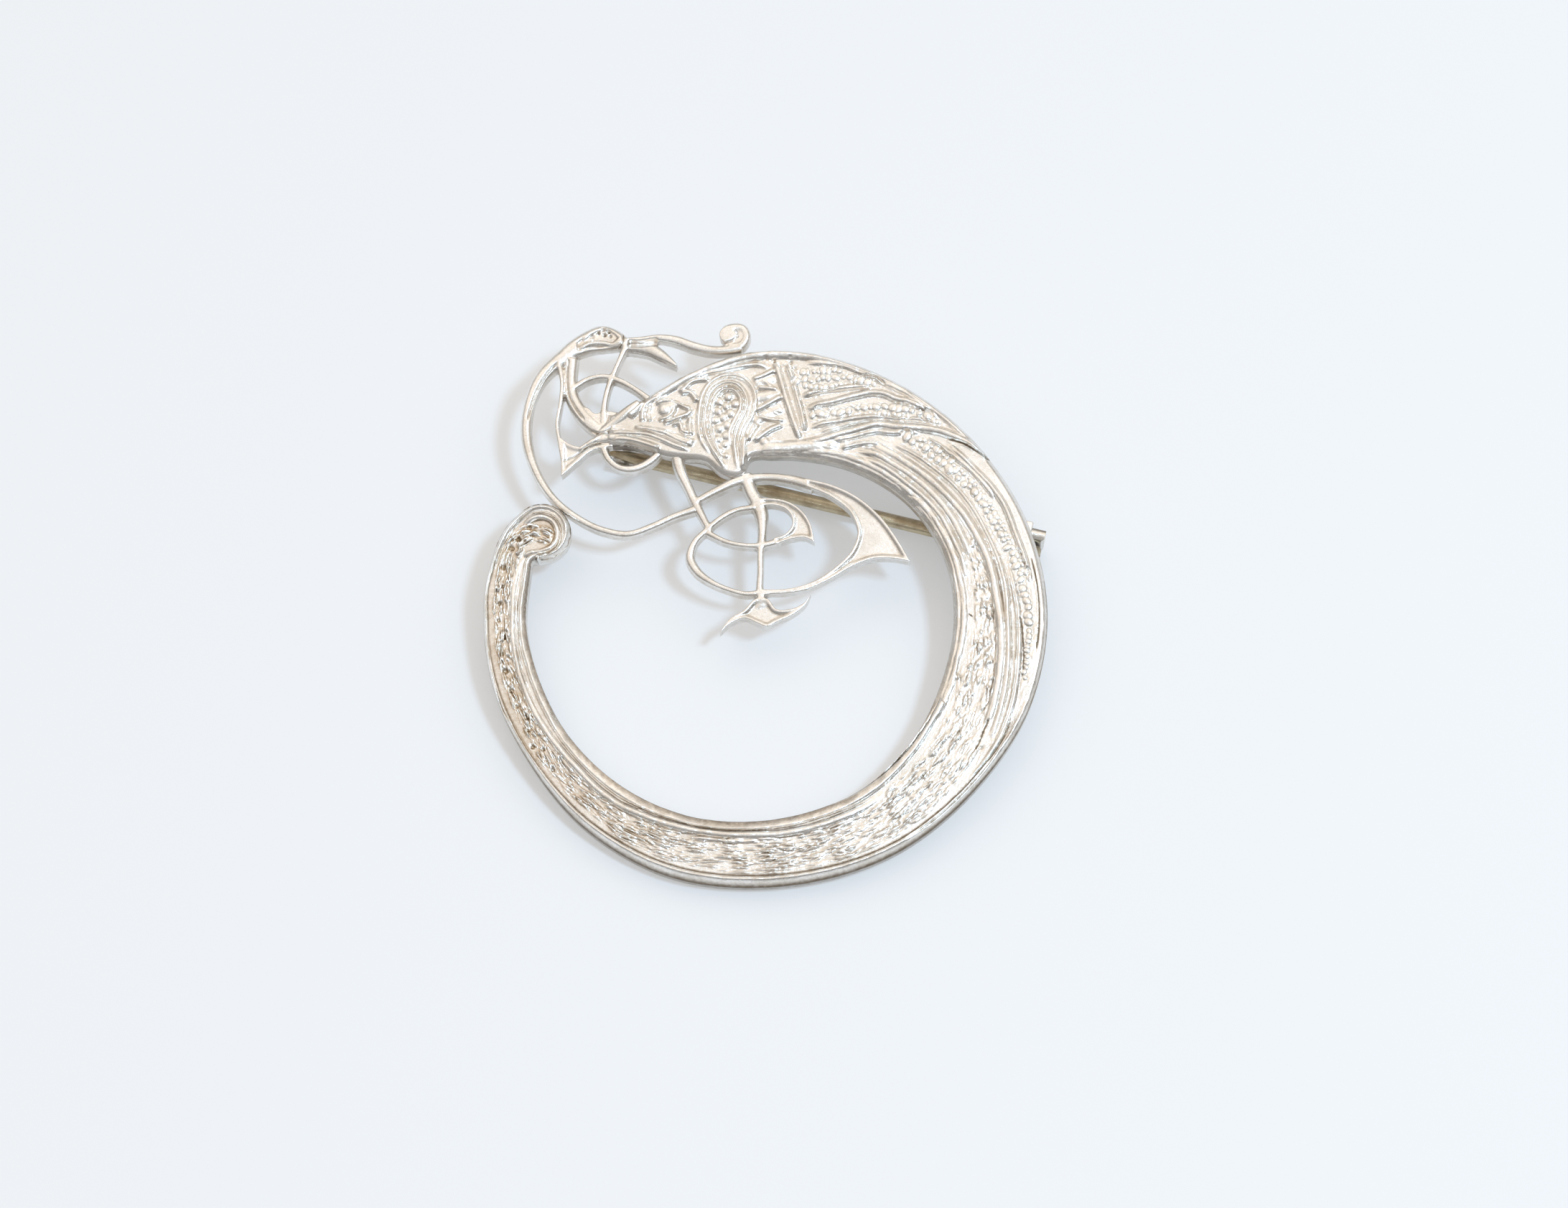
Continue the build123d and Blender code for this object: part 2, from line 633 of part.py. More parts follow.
def laid_down(parts):
    """Lean every part over by the same angle, then set the lot on Z = 0 about the origin."""
    axis = Axis((0, 0, 0), (pin_direction.X, pin_direction.Y, 0))
    leaned = {name: part.rotate(axis, lean_angle()) for name, part in parts.items()}
    boxes = [part.bounding_box() for part in leaned.values()]
    middle_x = (min(box.min.X for box in boxes) + max(box.max.X for box in boxes)) / 2
    middle_y = (min(box.min.Y for box in boxes) + max(box.max.Y for box in boxes)) / 2
    floor = min(box.min.Z for box in boxes)
    shift = Pos(-middle_x, -middle_y, -floor)
    return {name: shift * part for name, part in leaned.items()}


flat_parts = {
    "bird_ring_casting": openwork() + field() + rims() + boss() + scroll_rim() + hinge_ears() + catch(),
    "pin_stem": pin_stem(),
    "hinge_rivet": hinge_rivet(),
}

os.makedirs("parts", exist_ok=True)
for name, part in laid_down(flat_parts).items():
    export_step(part, f"parts/{name}.step")
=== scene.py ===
import json
from math import cos, pi, radians, sin, tau

import bmesh
import bpy
import numpy as np
from mathutils import Matrix, Vector


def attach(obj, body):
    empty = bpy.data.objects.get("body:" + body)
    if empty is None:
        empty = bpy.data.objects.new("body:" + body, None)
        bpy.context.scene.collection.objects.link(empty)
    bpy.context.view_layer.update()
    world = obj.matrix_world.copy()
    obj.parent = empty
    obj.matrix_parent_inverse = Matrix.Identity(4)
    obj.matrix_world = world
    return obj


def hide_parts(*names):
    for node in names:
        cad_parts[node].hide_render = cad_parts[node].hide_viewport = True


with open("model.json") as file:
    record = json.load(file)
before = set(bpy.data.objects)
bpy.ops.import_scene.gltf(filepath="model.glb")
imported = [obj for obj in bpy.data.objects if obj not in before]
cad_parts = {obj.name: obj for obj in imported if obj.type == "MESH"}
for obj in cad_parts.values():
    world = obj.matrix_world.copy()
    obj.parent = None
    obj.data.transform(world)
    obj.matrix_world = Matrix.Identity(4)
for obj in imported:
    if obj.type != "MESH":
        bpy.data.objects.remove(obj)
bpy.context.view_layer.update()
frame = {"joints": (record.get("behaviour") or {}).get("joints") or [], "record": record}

# Celtic bird brooch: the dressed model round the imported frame.
# Pieces are modelled flat, in millimetres, with the casting's back on Z = 0 and the ring's centre at the
# origin, as the part's own source draws them. PLACE then leans them over and sets them where they lie.

# Sizes repeated from the part's source, in millimetres
WIRE_THICKNESS = 1.3
PLATE_THICKNESS = 1.5
RELIEF_TOP = 2.0
PIN_DROP = 2.8
PIN_RADIUS = 0.55
PIN_LENGTH = 36.18
PIN_NECK_LENGTH = 3.0
PIN_POINT_LENGTH = 3.5
PIN_OVERSHOOT = 2.2
EYE_WIDTH = 1.3
EYE_RADIUS = 1.04
HOLE_RADIUS = 0.44
RIVET_RADIUS = 0.4
RIVET_HEAD_RADIUS = 0.65
RIVET_HEAD_HEIGHT = 0.25
RUNNING_CLEARANCE = 0.04
EAR_THICKNESS = 0.7
EAR_RADIUS = 1.14
EAR_GAP = 1.42
HINGE_WIDTH = 2.82
HINGE_PLATE_THICKNESS = 0.6
HINGE_PLATE_LENGTH = 2.3
HINGE_PLATE_MARGIN = 0.35
SOLDER_DEPTH = 0.3
CATCH_INNER_RADIUS = 0.7
CATCH_WALL = 0.45
CATCH_WIDTH = 1.8
HINGE_PLAN = Vector((21.166, 6.674, -PIN_DROP))

# Small roundings of the fittings, and the pin's point as distance from its tip and radius
EYE_EDGE = 0.12
HOLE_EDGE = 0.05
EAR_INSET = 0.004
PLATE_BEVEL = 0.12
PIN_POINT = [(2.4, 0.42), (1.2, 0.25), (0.3, 0.12), (0.06, 0.08), (0.0, 0.0)]

# How fine the relief is cut: spacing of the stations along the casting, and columns across it
STATION_STEP = 0.1
BODY_COLUMNS = 146
TAIL_COLUMNS = 108
WALL_ROWS = 4
BACK_COLUMNS = 8
BACK_CHAMFER = 0.14
SPARE_STATIONS = 12
VOXEL = 0.075
WELD = 1e-5

# The relief's ground, how full its ridges are, and the lowest and highest place of the face
FIELD_HEIGHT = 1.44
RIDGE_FULLNESS = {
    "rims": 1.3, "breast": 1.35, "boss": 1.3, "collar": 1.3, "wing": 1.4, "tail": 1.5, "scroll": 1.3
}
RIDGE_RISE = 0.9
RIDGE_MOST = 0.5
LINE_STEP = 0.35
LINE_FADE = 0.1
LOWEST_FACE = 0.75
HIGHEST_FACE = RELIEF_TOP - 0.02

# The rims along the lower ring, how round its slopes are, and the groove at the foot of the outer rim
EDGE_REACH = 2.0
OUTER_RIM_FALL = 0.6
INNER_RIM_FALL = 0.3
INNER_RIM_SHARE = 0.85
OUTER_ROUNDING = 1.6
INNER_ROUNDING = 1.15
FOOT_PLACE = 1.62
FOOT_WIDTH = 0.13
FOOT_DEPTH = 0.3

# Slow waves of the metal, soft ends of the lump fields, beads, and the chaser's cuts
WAVES = 14
WAVE_LENGTHS = (0.7, 1.8)
WAVES_PEAK = 5.3
FIELD_FADE = 0.3
ROUGH_LIFT = 0.36
BEAD_SPACING = 1.6
BEAD_SHIFT = 0.22
BEAD_SIZES = (0.65, 1.15)
CUTS_PER_MM2 = 4.5
CUT_TURN = 0.2
CUT_LENGTHS = (0.3, 1.7)
CUT_WIDTHS = (0.05, 0.08)
CUT_DEPTHS = (0.06, 0.28)

# Tarnish and painted shade. The attribute "hollow" is LEVEL on flat metal, more where dirt and patina lie
# and where shade is painted, and less where it is rubbed.
LEVEL = 0.5
LEAST_STAIN = 0.3
# The walls, the inner slope and the wires' sides take painted shade, with some tarnish
INNER_SIDE_SHADE_AND_TARNISH = 0.7
OUTER_SIDE_SHADE_AND_TARNISH = 0.86
INNER_SLOPE_SHADE_AND_TARNISH = 0.26
BIRD_GROUND_TARNISH = 0.03
LEFT_GROUND_TARNISH = 0.1
LEFT_DIRT_AND_SHADE_SHARE = 0.35
WIRE_SIDE_SHADE_AND_TARNISH = 0.68
# Cracks and chased cuts are darkened with dirt and painted shade
CRACK_DIRT_AND_SHADE = 3
CUT_DIRT_AND_SHADE = 0.55
RUBBED_CLEAN = 0.55

# Blurs that tell how deep a place lies: rounds along and across the casting, and the depth that counts as 1
WIDE_BLUR, WIDE_DEPTH = (9, 26), 1.3
FINE_BLUR, FINE_DEPTH = (1, 4), 0.26
SKIN_DEPTH = 0.22

# Colours and amounts for the tarnish and painted shade group, the height of the metals' bump in metres, and
# the ground
# Deep is the dark of patina and painted shade, in the hollows and on the shaded walls
SILVER_TARNISH_AND_SHADE = {
    "Clean": (0.95, 0.94, 0.92, 1), "Dull": (0.8, 0.77, 0.72, 1), "Deep": (0.13, 0.095, 0.06, 1),
    "Stained": (0.48, 0.36, 0.23, 1), "Amount": 0.9, "Specks": 0.35,
}
BRASS_TARNISH_AND_SHADE = {
    "Clean": (0.64, 0.56, 0.4, 1), "Dull": (0.36, 0.28, 0.18, 1), "Deep": (0.16, 0.12, 0.08, 1),
    "Stained": (0.3, 0.2, 0.1, 1), "Amount": 0.9, "Specks": 0.2,
}
BUMP_HEIGHT = 0.00002
# The ground's emission is painted light: a faint glow that keeps its shadows light
GROUND = {
    "Base Color": (0.615, 0.625, 0.637, 1), "Emission Color": (0.92, 0.96, 1.0, 1),
    "Emission Strength": 0.285, "Roughness": 0.9, "Specular IOR Level": 0.1,
}

# Level of the sky from the horizon (0) to straight above (1), and its colour from the south to the north
SKY_LEVELS = [
    (0.0, 0.2), (0.25, 0.3), (0.45, 0.62), (0.65, 0.98), (0.86, 1.1), (0.94, 1.0), (0.98, 0.84), (1.0, 0.66)
]
SKY_COLOURS = [(0.25, (0.62, 0.6, 0.58)), (0.5, (1.0, 0.91, 0.82)), (0.75, (1.2, 1.1, 0.99))]

# Camera: the photo's angle, with the ring's centre where the photo has it
LENS = 85.0
SENSOR = 36.0
IMAGE_WIDTH = 2184
IMAGE_HEIGHT = 1682
CAMERA_ELEVATION = 67.37
CAMERA_DISTANCE = 0.29467
CENTRE_ON_IMAGE = (1065, 864)

# Where the piece for body and wing ends and the one for the tail begins: angle and radius on the ring
SPLIT_ANGLE = 8
SPLIT_RADIUS = 19.0

# The casting's two edges across the body, from the breast to the ring: inner x, y, outer x, y
BODY_KEYS = [
    (-12.6, 14.9, -12.7, 17.6),
    (-11.0, 14.85, -11.2, 17.75),
    (-9.3, 14.35, -9.7, 18.95),
    (-8.0, 13.95, -8.0, 20.0),
    (-6.4, 13.7, -6.0, 21.15),
    (-4.7, 13.4, -4.0, 22.0),
    (-3.5, 12.4, -2.7, 22.45),
    (-1.75, 12.3, -1.2, 22.8),
    (-1.3, 13.5, 0.0, 22.95),
    (0.8, 13.8, 2.4, 22.85),
]

# The slopes along the two edges: width and drop of the outer one, width and drop of the inner one
BODY_SLOPES = (0.4, 0.5, 0.4, 0.3)
SCROLL_SLOPES = (0.3, 0.45, 0.3, 0.25)

# The ring from the wing to the tail's end: angle, outer and inner radius, and the two edges' slopes
RING_KEYS = [
    (75, 22.85, 14.1, 0.4, 0.5, 0.35, 0.35),
    (60, 22.6, 14.6, 0.4, 0.45, 0.35, 0.35),
    (40, 22.5, 15.15, 0.45, 0.45, 0.35, 0.35),
    (20, 22.55, 15.3, 0.5, 0.45, 0.35, 0.35),
    (0, 22.5, 15.05, 0.45, 0.45, 0.35, 0.35),
    (-20, 22.15, 14.9, 0.42, 0.5, 0.4, 0.28),
    (-40, 21.6, 15.3, 0.46, 0.65, 0.5, 0.26),
    (-60, 21.55, 15.75, 0.5, 0.8, 0.6, 0.3),
    (-90, 21.55, 16.3, 0.55, 0.9, 0.62, 0.34),
    (-110, 21.95, 16.95, 0.55, 0.9, 0.62, 0.34),
    (-130, 21.95, 17.55, 0.45, 0.75, 0.6, 0.26),
    (-150, 21.85, 18.1, 0.32, 0.55, 0.5, 0.28),
    (-165, 22.2, 18.5, 0.26, 0.45, 0.45, 0.3),
    (-180, 22.41, 19.05, 0.22, 0.4, 0.4, 0.3),
    (-194, 22.48, 19.3, 0.24, 0.4, 0.3, 0.3),
]

# The scroll: inner x, y, outer x, y. The inner side stands still where the scroll meets the tail.
SCROLL_KEYS = [
    (-18.74, 4.78, -21.45, 6.7),
    (-18.72, 4.86, -20.75, 8.0),
    (-18.7, 4.92, -19.8, 9.05),
    (-18.67, 4.98, -18.85, 9.75),
    (-18.64, 5.04, -17.5, 9.89),
    (-18.6, 5.08, -16.3, 9.26),
    (-18.56, 5.11, -15.6, 7.95),
    (-18.52, 5.14, -15.85, 6.45),
    (-18.47, 5.17, -16.9, 5.42),
    (-18.42, 5.19, -18.05, 5.175),
]

# Raised lines of the relief: width, height above the field, places along the line
RIDGES = {
    "rims": [
        (0.8, 0.5, [(-10.0, 18.3), (-8.9, 19.0), (-7.5, 19.85), (-6.0, 20.7), (-4.0, 21.55), (-2.0, 22.25),
            (0.4, 22.5), (3.0, 22.4), (6.0, 21.8), (9.0, 20.65), (12.0, 19.1), (14.6, 17.1), (16.6, 15.0),
            (18.2, 13.2)]),
        (0.45, 0.4, [(3.2, 21.8), (5.0, 21.6), (6.5, 21.3), (8.1, 20.6), (9.5, 20.0), (10.5, 19.5),
            (11.5, 19.0), (12.5, 18.2), (13.2, 17.6), (14.0, 16.4)]),
        (0.4, 0.42, [(-9.9, 18.0), (-9.3, 18.55), (-8.5, 18.95)]),
        (0.35, 0.4, [(-6.0, 20.3), (-5.0, 20.75), (-3.5, 21.1), (-2.0, 21.4), (-0.5, 21.55), (0.3, 21.3)]),
        (0.6, 0.46, [(-12.6, 15.35), (-11.5, 15.35), (-10.5, 15.15), (-9.5, 14.85), (-8.5, 14.45)]),
    ],
    "breast": [
        (0.4, 0.42, [(-12.6, 15.9), (-11.0, 15.85), (-9.5, 15.7), (-8.3, 15.25), (-7.2, 14.75),
            (-6.0, 14.35)]),
        (0.45, 0.45, [(-10.6, 16.35), (-9.4, 16.15), (-8.0, 15.8), (-7.0, 15.25), (-5.7, 14.75)]),
        (0.4, 0.36, [(-8.6, 16.05), (-7.6, 15.8), (-6.6, 15.3), (-5.6, 15.0)]),
        (0.9, 0.55, [(-11.1, 17.3), (-10.6, 17.9), (-10.0, 18.7)]),
        (0.35, 0.48, [(-9.6, 18.5), (-9.85, 17.6), (-9.9, 16.8)]),
        (0.3, 0.42, [(-9.15, 18.3), (-9.3, 17.6), (-9.3, 16.8)]),
        (0.4, 0.45, [(-8.9, 18.3), (-8.2, 18.55), (-7.4, 18.5), (-6.6, 18.1), (-5.9, 17.75)]),
        (0.35, 0.46, [(-7.35, 18.4), (-7.3, 17.8), (-7.9, 17.1), (-8.6, 16.95)]),
        (0.42, 0.5, [(-8.2, 16.65), (-7.2, 17.0), (-6.1, 17.5), (-5.9, 17.9)]),
        (0.35, 0.42, [(-7.5, 16.4), (-6.9, 16.7), (-6.6, 15.9), (-6.1, 15.8)]),
        (0.35, 0.4, [(-6.0, 17.2), (-6.05, 16.5), (-5.95, 15.6)]),
        (0.35, 0.45, [(-7.0, 19.3), (-6.5, 19.55), (-6.0, 20.1), (-5.4, 20.3), (-4.4, 20.3)]),
        (0.4, 0.45, [(-6.8, 19.2), (-6.1, 19.3), (-5.7, 18.9), (-5.5, 18.4)]),
    ],
    "boss": [
        (0.34, 0.45, [(-4.4, 14.0), (-5.1, 15.2), (-5.35, 16.4), (-5.3, 17.6), (-5.1, 18.8), (-4.55, 19.9),
            (-3.7, 20.5), (-2.6, 20.7), (-1.6, 20.35), (-0.95, 19.6), (-0.7, 18.6), (-1.0, 17.1),
            (-1.6, 15.9), (-1.9, 14.6), (-1.75, 13.2)]),
        (0.34, 0.56, [(-3.1, 12.7), (-4.1, 14.2), (-4.75, 15.6), (-4.85, 17.0), (-4.65, 18.3), (-4.2, 19.4),
            (-3.3, 19.98), (-2.4, 19.95), (-1.75, 19.4), (-1.4, 18.5), (-1.55, 17.5), (-2.05, 16.4),
            (-2.4, 15.2), (-2.3, 13.6), (-2.2, 12.6)]),
        (0.26, 0.5, [(-3.3, 13.6), (-4.0, 14.9), (-4.35, 16.2), (-4.25, 17.6), (-4.0, 18.6), (-3.4, 19.4),
            (-2.6, 19.45), (-2.0, 18.8), (-1.95, 17.9), (-2.4, 16.9), (-2.85, 15.8), (-2.8, 14.6)]),
        (0.5, 0.5, [(-1.6, 15.6), (-1.7, 14.2), (-1.65, 12.7)]),
    ],
    "collar": [
        (0.5, 0.5, [(0.85, 21.9), (1.3, 20.3), (1.7, 18.8), (2.15, 17.3), (2.65, 15.8), (2.85, 15.1)]),
        (0.42, 0.5, [(1.85, 21.6), (2.2, 20.5), (2.6, 19.0), (3.0, 17.4), (3.3, 15.8)]),
        (0.42, 0.46, [(-1.0, 20.3), (-0.1, 20.6), (0.85, 21.1)]),
        (0.46, 0.5, [(-0.8, 17.6), (-0.1, 17.95), (0.6, 18.35), (1.45, 18.9)]),
        (0.42, 0.46, [(-0.9, 15.0), (-0.2, 15.5), (0.5, 16.0), (1.5, 16.4)]),
        (0.36, 0.42, [(-1.35, 15.1), (-0.9, 15.9), (-0.5, 16.5)]),
        (0.36, 0.42, [(-0.6, 19.6), (0.2, 19.55), (1.1, 19.4)]),
        (0.34, 0.4, [(-0.7, 17.2), (0.3, 16.9), (1.6, 16.75)]),
        (0.3, 0.38, [(-0.3, 20.3), (0.3, 19.9), (0.7, 19.5)]),
        (0.8, 0.3, [(-0.9, 18.7), (0.1, 18.9), (1.4, 19.2)]),
        (0.8, 0.3, [(-1.0, 16.6), (0.1, 17.3), (1.5, 17.9)]),
        (0.8, 0.3, [(-0.9, 20.0), (0.0, 20.2), (0.9, 20.5)]),
    ],
    "wing": [
        (0.42, 0.46, [(3.0, 18.85), (4.5, 19.25), (6.0, 19.45), (7.5, 19.6), (8.6, 19.55)]),
        (0.5, 0.54, [(3.4, 17.7), (4.5, 18.1), (5.5, 18.3), (7.0, 18.7), (8.0, 18.95), (9.0, 19.05),
            (9.8, 18.9), (10.6, 18.5), (11.5, 18.3), (12.4, 17.9), (13.1, 17.4)]),
        (0.4, 0.46, [(3.6, 16.15), (5.0, 16.5), (6.0, 16.65), (7.5, 16.9), (9.0, 17.0), (11.0, 16.85),
            (13.0, 16.65), (14.4, 16.2)]),
        (0.6, 0.54, [(3.0, 14.75), (4.8, 15.15), (6.0, 15.55), (7.0, 15.8), (8.0, 16.1), (9.1, 16.35),
            (10.5, 16.15), (12.5, 16.0), (14.2, 15.7), (15.8, 15.0), (17.2, 14.2), (18.2, 13.3)]),
        (0.5, 0.36, [(4.5, 15.75), (6.0, 16.15), (8.0, 16.5), (9.5, 16.65), (11.5, 16.45)]),
        (0.9, 0.4, [(-0.4, 14.5), (1.2, 14.5), (2.8, 14.6), (4.4, 14.7), (6.0, 14.7)]),
        (0.4, 0.42, [(5.2, 15.0), (6.6, 15.2), (7.8, 15.5), (9.0, 15.75), (10.4, 15.6), (11.4, 15.7),
            (12.6, 15.6)]),
        (0.34, 0.4, [(6.2, 14.3), (7.2, 14.6), (8.3, 14.75), (9.3, 14.7)]),
    ],
    "tail": [
        (0.45, 0.3, [(1.5, 14.35), (3.5, 14.25), (5.4, 14.0), (6.8, 13.65), (8.2, 13.1), (9.6, 12.3),
            (11.0, 11.2), (12.2, 10.1), (13.3, 8.8), (14.3, 7.2), (15.1, 5.4), (15.55, 3.5), (15.85, 1.5),
            (15.8, -1.0), (15.4, -3.0), (14.85, -5.0), (14.0, -7.3), (12.9, -9.5)]),
        (0.42, 0.46, [(7.8, 13.55), (9.0, 13.05), (10.0, 12.45), (11.0, 11.65), (12.1, 10.75), (13.2, 9.7),
            (14.2, 8.4), (15.1, 6.6), (15.75, 5.0), (16.1, 3.4)]),
        (0.55, 0.5, [(7.5, 14.2), (9.0, 13.8), (10.0, 13.2), (11.5, 12.2), (13.0, 10.9), (14.6, 9.0),
            (15.7, 7.0), (16.4, 5.2)]),
        (0.62, 0.54, [(8.6, 14.95), (9.5, 14.3), (10.5, 13.7), (11.5, 13.0), (12.7, 12.1), (13.5, 11.4),
            (14.5, 10.4), (15.7, 9.0), (17.0, 6.8), (17.8, 5.0), (18.4, 2.0), (18.7, 0.0), (18.75, -2.5),
            (18.5, -5.0), (18.0, -7.3), (17.3, -9.4)]),
        (0.42, 0.5, [(10.2, 14.9), (11.0, 14.4), (12.0, 13.8), (13.2, 12.9), (14.5, 11.8), (15.5, 10.8),
            (16.6, 9.3), (17.7, 7.2), (18.6, 5.0), (19.1, 3.0), (19.3, 0.0), (19.3, -3.0), (19.05, -5.5),
            (18.5, -7.8), (17.8, -9.8)]),
        (0.4, 0.42, [(13.0, 15.1), (14.7, 14.0), (16.5, 12.4), (17.6, 11.2), (18.5, 10.0)]),
        (0.42, 0.5, [(14.8, 14.6), (16.4, 13.0), (17.3, 12.0), (18.4, 10.7), (19.2, 9.4), (20.0, 7.2),
            (20.7, 5.0), (21.2, 2.8)]),
        (0.34, 0.4, [(19.4, 4.6), (19.9, 2.5), (20.15, 0.5), (20.2, -2.0), (20.0, -4.5), (19.5, -7.2),
            (18.6, -9.6), (17.5, -11.5), (16.0, -13.4)]),
        (0.5, 0.42, [(14.2, -6.6), (13.6, -7.7), (13.0, -8.6), (12.3, -9.8)]),
        (0.5, 0.5, [(9.5, -14.1), (7.6, -15.4), (5.6, -16.3), (3.6, -16.95), (1.6, -17.35), (-0.5, -17.45),
            (-3.0, -17.4), (-5.2, -17.1), (-7.4, -16.6), (-9.4, -15.9), (-11.2, -15.1), (-13.0, -13.8),
            (-14.6, -12.2), (-16.1, -10.5), (-17.3, -8.9), (-18.3, -7.2), (-19.2, -5.0), (-19.75, -3.0),
            (-20.05, -1.0), (-20.1, 1.0), (-20.0, 3.0), (-19.7, 4.6), (-19.35, 5.5)]),
        (0.28, 0.34, [(-0.3, -17.95), (-2.0, -17.95), (-4.0, -17.8), (-5.6, -17.6)]),
    ],
    "scroll": [
        (0.62, 0.54, [(-21.75, 4.4), (-21.4, 6.0), (-20.75, 7.4), (-19.9, 8.6), (-18.9, 9.35),
            (-17.8, 9.55), (-16.8, 9.1), (-16.1, 8.3), (-15.95, 7.2), (-16.3, 6.2), (-17.0, 5.55),
            (-18.0, 5.35)]),
        (0.4, 0.5, [(-19.35, 8.1), (-18.7, 8.65), (-17.8, 8.8), (-17.0, 8.4), (-16.65, 7.6), (-16.7, 6.8),
            (-17.2, 6.15), (-17.9, 5.9), (-18.7, 5.8), (-19.35, 5.6)]),
    ],
}

